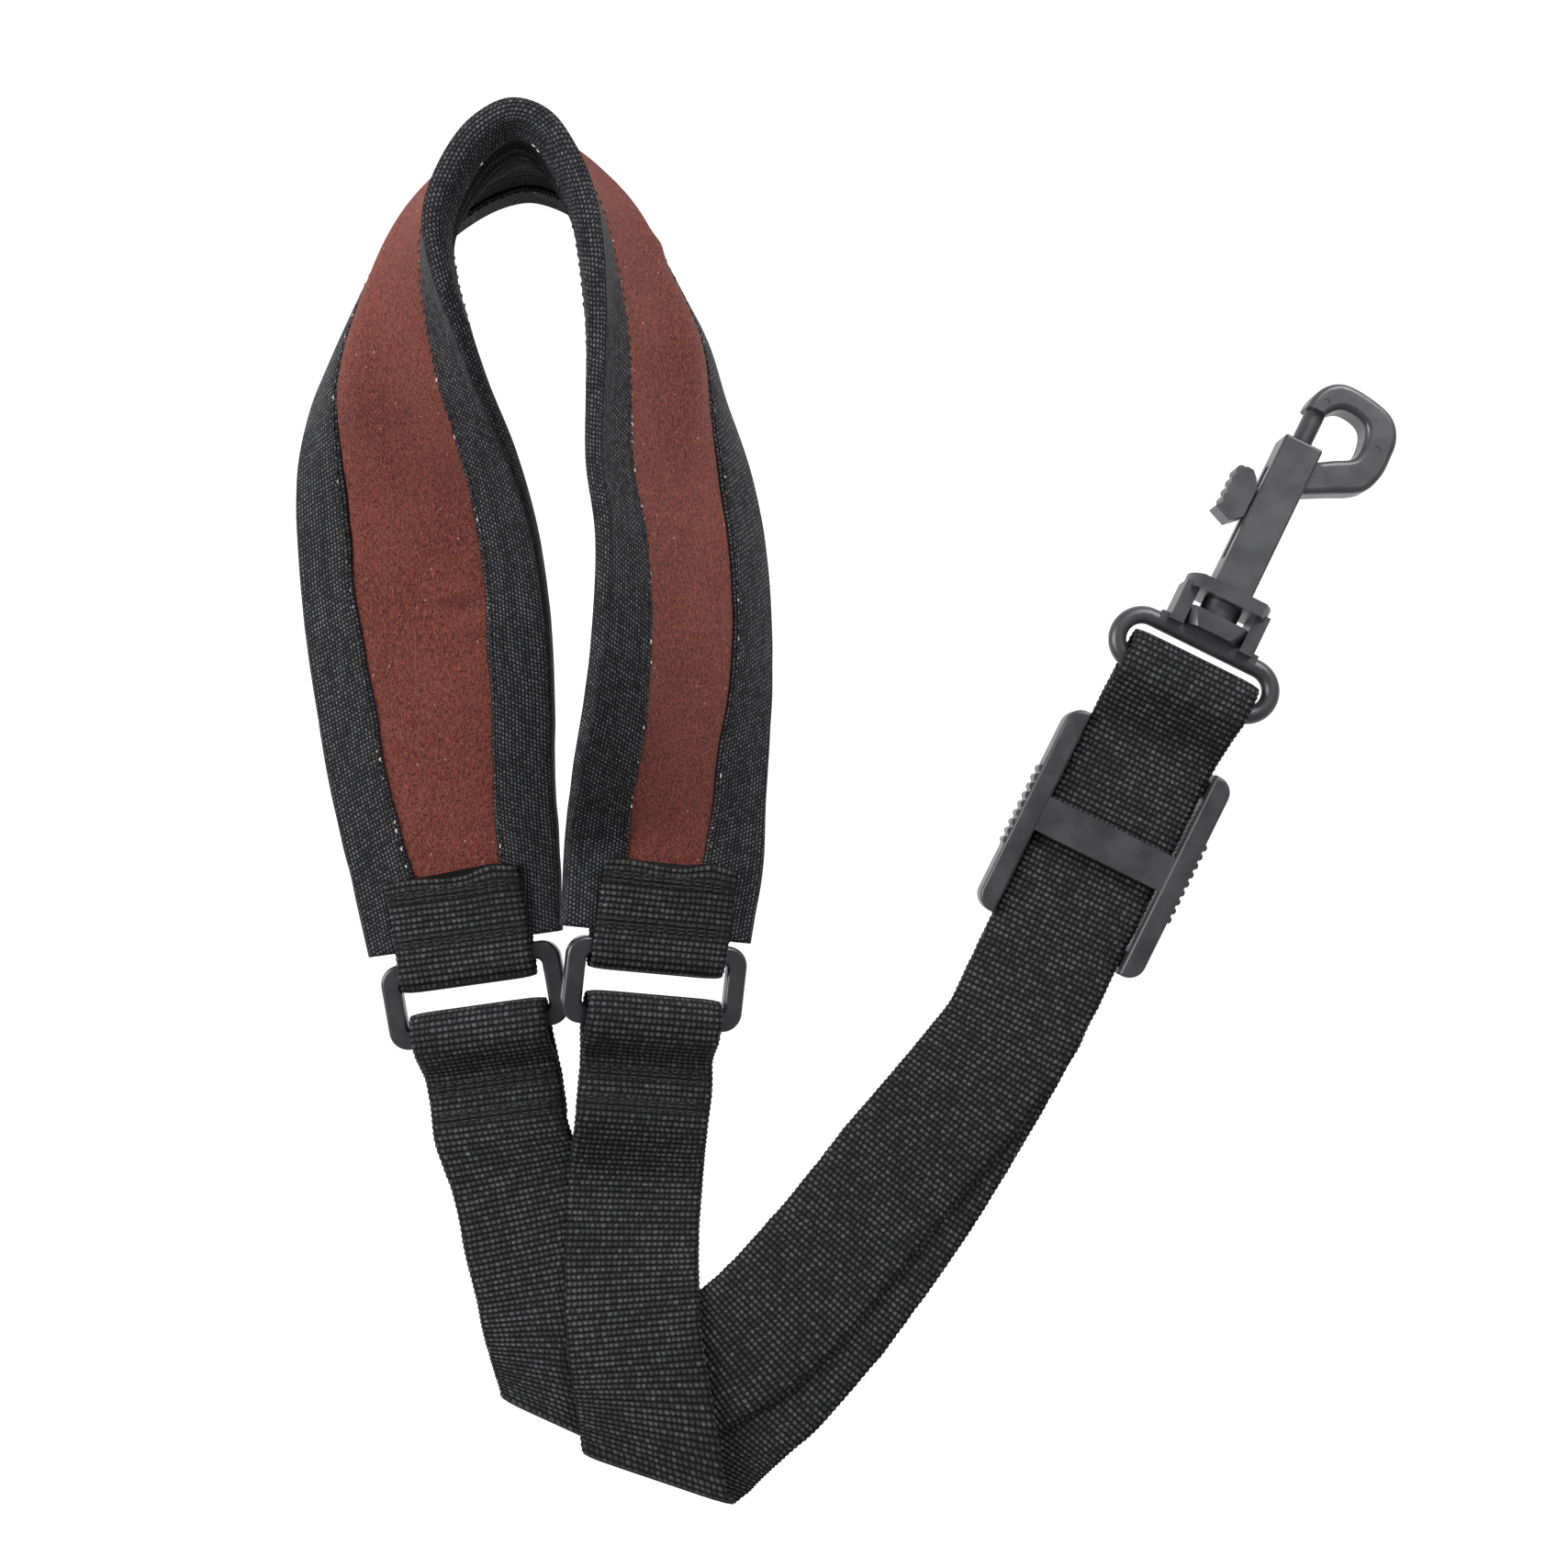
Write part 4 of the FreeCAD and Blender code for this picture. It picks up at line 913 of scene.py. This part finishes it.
def tape_material():
    """Twill binding: columns of fine beads along the tape, each column a step behind its neighbour."""
    graph = Graph("Twill tape")
    along, across = graph.weave()
    columns = graph.maths("DIVIDE", across, TWILL_COLUMN)
    column = graph.maths("FLOOR", columns)
    drift = graph.maths("MULTIPLY", graph.noise(graph.join(along, across), 0.22, 2.0), 1.4)
    lean = graph.maths("MULTIPLY_ADD", column, TWILL_STEP, drift)
    beads = graph.maths("ADD", graph.maths("DIVIDE", along, TWILL_BEAD), lean)
    cord = graph.maths("POWER", half_wave(graph, columns), 0.7)
    gap = graph.maths("POWER", half_wave(graph, beads), 0.7)
    cord = graph.maths("MULTIPLY_ADD", cord, 0.8, 0.2)
    gap = graph.maths("MULTIPLY_ADD", gap, 0.75, 0.25)
    bead = graph.maths("MULTIPLY", cord, gap)
    chance = graph.scatter(graph.join(graph.maths("FLOOR", beads), column))
    patch = graph.noise(graph.join(graph.maths("MULTIPLY", along, 0.3), across), 0.45, 2.0)
    lit = graph.ramp(graph.maths("ADD", graph.maths("MULTIPLY", chance, 0.7), patch), 0.4, 1.3, 0.2, 1.0)
    fibres = graph.noise(graph.place((5.0, 5.0, 5.0)), 1.0, 2.0, 0.7)
    threads = graph.ramp(fibres, 0.4, 0.65, 0.4, 1.0)
    # Painted highlights: a glint at the middle of each bead, stronger on some beads than on others.
    glint = graph.maths("MULTIPLY", graph.maths("POWER", bead, 4.0), graph.maths("MULTIPLY", lit, threads))
    # Painted shade: the colour darkens in the gaps between the beads.
    body = graph.blend(graph.ramp(bead, 0.3, 0.95), (0.001, 0.001, 0.0014), (0.005, 0.005, 0.006))
    colour = graph.blend(glint, body, (0.17, 0.172, 0.183))
    normal = graph.bump(bead, 0.18, 0.9)
    return graph.finish(colour, 0.6, normal, Specular_IOR_Level=0.12)


def suede_material():
    """Brushed suede: short lengthwise fur with dark pits, cloudy patches and a little pale lint."""
    graph = Graph("Brushed suede")
    patches = graph.noise(graph.place((0.07, 0.045, 0.07)), 1.0, 3.0)
    streaks = graph.noise(graph.place((2.2, 1.0, 2.2)), 1.0, 4.0, 0.7)
    nap = graph.noise(graph.place((4.2, 2.2, 4.2)), 1.0, 3.0, 0.65)
    base = graph.blend(graph.ramp(patches, 0.3, 0.7), (0.096, 0.0225, 0.0165), (0.138, 0.0355, 0.0265))
    base = graph.blend(graph.ramp(streaks, 0.42, 0.66, 0.0, 0.85), base, (0.205, 0.06, 0.046))
    base = graph.blend(graph.ramp(nap, 0.5, 0.62, 0.0, 1.0), base, (0.02, 0.006, 0.006))
    cells = graph.node("ShaderNodeTexVoronoi")
    graph.links.new(graph.place((0.6, 0.45, 0.6)), cells.inputs["Vector"])
    cells.inputs["Scale"].default_value = 1.0
    fluff = graph.ramp(cells.outputs["Distance"], 0.05, 0.11, 1.0, 0.0)
    pick = graph.node("ShaderNodeSeparateColor")
    graph.links.new(cells.outputs["Color"], pick.inputs[0])
    fluff = graph.maths("MULTIPLY", fluff, graph.ramp(pick.outputs[0], 0.6, 0.64))
    colour = graph.blend(graph.maths("MULTIPLY", fluff, 0.75), base, (0.5, 0.36, 0.33))
    normal = graph.bump(streaks, 0.35, 0.9, graph.bump(nap, 0.3, 1.0))
    return graph.finish(
        colour, 0.95, normal, Specular_IOR_Level=0.1, Sheen_Weight=0.18, Sheen_Roughness=0.5,
        Sheen_Tint=(0.85, 0.5, 0.45, 1.0),
    )


def lining_material():
    graph = Graph("Ribbed lining")
    along, across = graph.weave()
    rib = half_wave(graph, graph.maths("DIVIDE", along, 0.9))
    cord = half_wave(graph, graph.maths("DIVIDE", across, 0.6))
    thread = graph.maths("MULTIPLY", rib, cord)
    worn = graph.noise(graph.join(along, across), 0.25, 3.0)
    base = graph.blend(graph.ramp(thread, 0.2, 0.95), (0.002, 0.002, 0.0025), (0.018, 0.018, 0.02))
    colour = graph.blend(graph.ramp(worn, 0.55, 0.75, 0.0, 0.35), base, (0.045, 0.045, 0.048))
    normal = graph.bump(thread, 0.3, 1.0)
    return graph.finish(colour, 0.75, normal, Specular_IOR_Level=0.12)


def plastic_material(name, colour, roughness):
    graph = Graph(name)
    cloud = graph.noise(graph.place((0.16, 0.16, 0.16)), 1.0, 3.0)
    grain = graph.noise(graph.place((5.0, 5.0, 5.0)), 1.0, 2.0)
    scuffs = graph.noise(graph.place((0.35, 2.6, 0.35)), 1.0, 4.0, 0.7)
    dark = tuple(c * 0.8 for c in colour)
    pale = tuple(c * 1.25 + 0.004 for c in colour)
    base = graph.blend(graph.ramp(cloud, 0.3, 0.7), dark, pale)
    worn = graph.ramp(scuffs, 0.63, 0.78, 0.0, 0.4)
    colour_out = graph.blend(worn, base, tuple(c * 1.9 + 0.02 for c in colour))
    gloss = graph.ramp(cloud, 0.25, 0.75, roughness - 0.05, roughness + 0.06)
    gloss = graph.maths("ADD", gloss, graph.maths("MULTIPLY", worn, 0.15))
    normal = graph.bump(grain, 0.02, 0.5, graph.bump(cloud, 0.08, 0.5))
    return graph.finish(colour_out, gloss, normal, Specular_IOR_Level=0.5)


def thread_material(name, colour, shade):
    graph = Graph(name)
    twist = graph.noise(graph.place((3.5, 3.5, 3.5)), 1.0, 2.0)
    base = graph.blend(graph.ramp(twist, 0.35, 0.65), shade, colour)
    return graph.finish(base, 0.7, graph.bump(twist, 0.08, 0.8), Specular_IOR_Level=0.3)


def seam_thread_material():
    """Dark thread whose loops catch the light here and there, as pale specks along the seam."""
    graph = Graph("Seam thread")
    specks = graph.noise(graph.place((0.55, 0.55, 0.55)), 1.0, 2.0)
    base = graph.blend(graph.ramp(specks, 0.56, 0.64), (0.02, 0.017, 0.017), (0.55, 0.52, 0.5))
    return graph.finish(base, 0.7, None, Specular_IOR_Level=0.3)


def steel_material():
    graph = Graph("Spring wire")
    drawn = graph.noise(graph.place((6.0, 6.0, 6.0)), 1.0, 2.0)
    base = graph.blend(graph.ramp(drawn, 0.3, 0.7), (0.42, 0.42, 0.43), (0.62, 0.62, 0.63))
    return graph.finish(base, 0.32, graph.bump(drawn, 0.02, 0.5), Metallic=1.0)


# ---- scene --------------------------------------------------------------------------------------
def build_soft_pieces():
    rng = np.random.default_rng(SEED + 2)
    webbing = webbing_material()
    pad = Pad(pad_ribbon(BAND_STEP))
    mesh = panel("suede_cover", pad, 1, SUEDE_COLUMNS)
    suede = add_piece("suede_cover", mesh, ["suede_panel", "foam_core"], suede_material())
    mesh = panel("band_lining", pad, -1, LINING_COLUMNS)
    lining = add_piece("band_lining", mesh, ["mesh_lining"], lining_material())
    twill = tape_material()
    pale = seam_thread_material()
    black = thread_material("Black thread", (0.02, 0.02, 0.022), (0.006, 0.006, 0.007))
    for label, inner in (("outer", False), ("inner", True)):
        mesh = tape_mesh(label + "_binding", pad, inner, rng)
        add_piece(label + "_binding", mesh, [label + "_edge_tape"], twill)
        mesh = stitch_mesh(label + "_seam", seam_stitches(pad, inner, rng), SEAM_THREAD)
        add_piece(label + "_seam", mesh, [label + "_tape_stitching"], pale)
    top_of_tab = RING_FOLD_RADIUS + WEB_THICK / 2 - 0.02
    top_of_strap = -RING_FOLD_RADIUS + 1.5 * WEB_THICK + LAYER_GAP - 0.02
    for label, side in (("left", LEFT_SIDE), ("right", RIGHT_SIDE)):
        rows = [(side, down) for down in TAB_ROWS]
        mesh, ribbon = webbing_mesh(label + "_tab", tab_stations(side), rows, ragged=0.9)
        tab = add_piece(label + "_tab", mesh, [label + "_pad_tab"], webbing)
        rows = [(down, top_of_tab - side["lift"] * down / TAB_REACH) for down in TAB_ROWS]
        stitches = cross_rows(side, side["tab"], rows, rng)
        add_piece(label + "_tab_seam", stitch_mesh(label + "_tab_seam", stitches, CROSS_THREAD),
                  [label + "_tab_stitching"], black)
        stitches = []
        for row in STRAP_ROWS:
            stitches += cross_rows(side, strap_offset(side, row), [(side["down"] + row, top_of_strap)], rng)
        add_piece(label + "_strap_seam", stitch_mesh(label + "_strap_seam", stitches, CROSS_THREAD),
                  [label + "_strap_stitching"], black)
    rows = [(side, side["down"] + row) for side in (LEFT_SIDE, RIGHT_SIDE) for row in STRAP_ROWS]
    mesh, ribbon = webbing_mesh("webbing", strap_stations(), rows)
    strap = add_piece("webbing", mesh, ["webbing_strap"], webbing)


def add_gate_coil(steel):
    """The bolt's spring, a copy of the CAD coil with a mesh of its own, carried by the hook; the real spring
    shortens towards its foot as the bolt is drawn back, but this copy keeps the CAD's shape.
    """
    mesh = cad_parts["gate_spring"].data.copy()
    mesh.materials.clear()
    coil = add_piece("gate_coil", mesh, ["gate_spring"], steel, body="hook")
    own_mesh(coil)


# Colour and roughness of each plastic.
BLACK_PLASTIC = ((0.012, 0.012, 0.0145), 0.3)
GREY_PLASTIC = ((0.024, 0.0243, 0.0282), 0.37)
DARK_PLASTIC = ((0.019, 0.019, 0.0232), 0.38)


def dress_hard_pieces():
    ring = plastic_material("Black plastic", *BLACK_PLASTIC)
    hardware = plastic_material("Grey plastic", *GREY_PLASTIC)
    slider = plastic_material("Dark plastic", *DARK_PLASTIC)
    looks = {
        "left_ring": ring, "right_ring": ring, "slider": slider, "swivel_base": slider,
        "hook_body": hardware, "gate_bolt": hardware,
    }
    for node, material in looks.items():
        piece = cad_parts[node]
        for index in range(max(1, len(piece.material_slots))):
            if piece.material_slots:
                piece.material_slots[index].material = material
            else:
                piece.data.materials.append(material)
    add_gate_coil(steel_material())


# The camera looks straight down, and its field is this wide at the surface.
FIELD = 294.5
CAMERA_HEIGHT = 340.0
CAMERA_PLAN = (-12.24, 2.07)
SENSOR = 36.0


def add_camera():
    data = bpy.data.cameras.new("camera")
    data.sensor_fit = "HORIZONTAL"
    data.sensor_width = SENSOR
    data.lens = SENSOR * CAMERA_HEIGHT / FIELD
    data.clip_start = 0.01
    camera = bpy.data.objects.new("camera", data)
    camera.location = (
        (CAMERA_PLAN[0] + PLAN_SHIFT[0]) * MM,
        (CAMERA_PLAN[1] + PLAN_SHIFT[1]) * MM,
        CAMERA_HEIGHT * MM,
    )
    bpy.context.scene.collection.objects.link(camera)
    bpy.context.scene.camera = camera


# The floor is far enough below the strap for the hook to swing straight down without meeting it.
FLOOR_DROP = 0.13
FLOOR_HALF = 12.0
FLOOR_GLOW = 0.96


def add_floor():
    """A pale, evenly lit sweep: a matt sheet that glows enough to keep its shadows faint."""
    graph = Graph("Pale floor")
    mottle = graph.noise(graph.place((0.02, 0.02, 0.02)), 1.0, 2.0)
    colour = graph.blend(graph.ramp(mottle, 0.3, 0.7), (0.14, 0.14, 0.14), (0.16, 0.16, 0.16))
    material = graph.finish(
        colour, 0.9, None, Specular_IOR_Level=0.1, Emission_Color=(1.0, 1.0, 1.0, 1.0),
        Emission_Strength=FLOOR_GLOW,
    )
    half = FLOOR_HALF
    mesh = bpy.data.meshes.new("floor")
    corners = [(-half, -half, 0), (half, -half, 0), (half, half, 0), (-half, half, 0)]
    mesh.from_pydata(corners, [], [(0, 1, 2, 3)])
    mesh.materials.append(material)
    floor = bpy.data.objects.new("floor", mesh)
    floor.location.z = -FLOOR_DROP
    bpy.context.scene.collection.objects.link(floor)


# The studio's lights: (name, place, size, watts), all aimed at the middle, and the world's strength.
SOFTBOXES = (
    ("left softbox", (-0.7, 0.15, 0.45), 0.4, 9.0),
    ("top softbox", (0.4, 0.65, 0.55), 0.45, 10.5),
)
WORLD_STRENGTH = 0.5


def add_light(name, place, aim, size, watts):
    data = bpy.data.lights.new(name, "AREA")
    data.shape = "SQUARE"
    data.size = size
    data.energy = watts
    light = bpy.data.objects.new(name, data)
    light.location = place
    light.rotation_euler = (Vector(aim) - Vector(place)).to_track_quat("-Z", "Y").to_euler()
    bpy.context.scene.collection.objects.link(light)


def add_lighting():
    world = bpy.data.worlds.new("studio")
    bpy.context.scene.world = world
    world.use_nodes = True
    background = world.node_tree.nodes["Background"]
    background.inputs[0].default_value = (1.0, 1.0, 1.0, 1.0)
    background.inputs[1].default_value = WORLD_STRENGTH
    for name, place, size, watts in SOFTBOXES:
        add_light(name, place, (0, 0, 0), size, watts)


bpy.context.scene.view_settings.view_transform = "Standard"
build_soft_pieces()
dress_hard_pieces()
add_camera()
add_floor()
add_lighting()

bpy.context.view_layer.update()
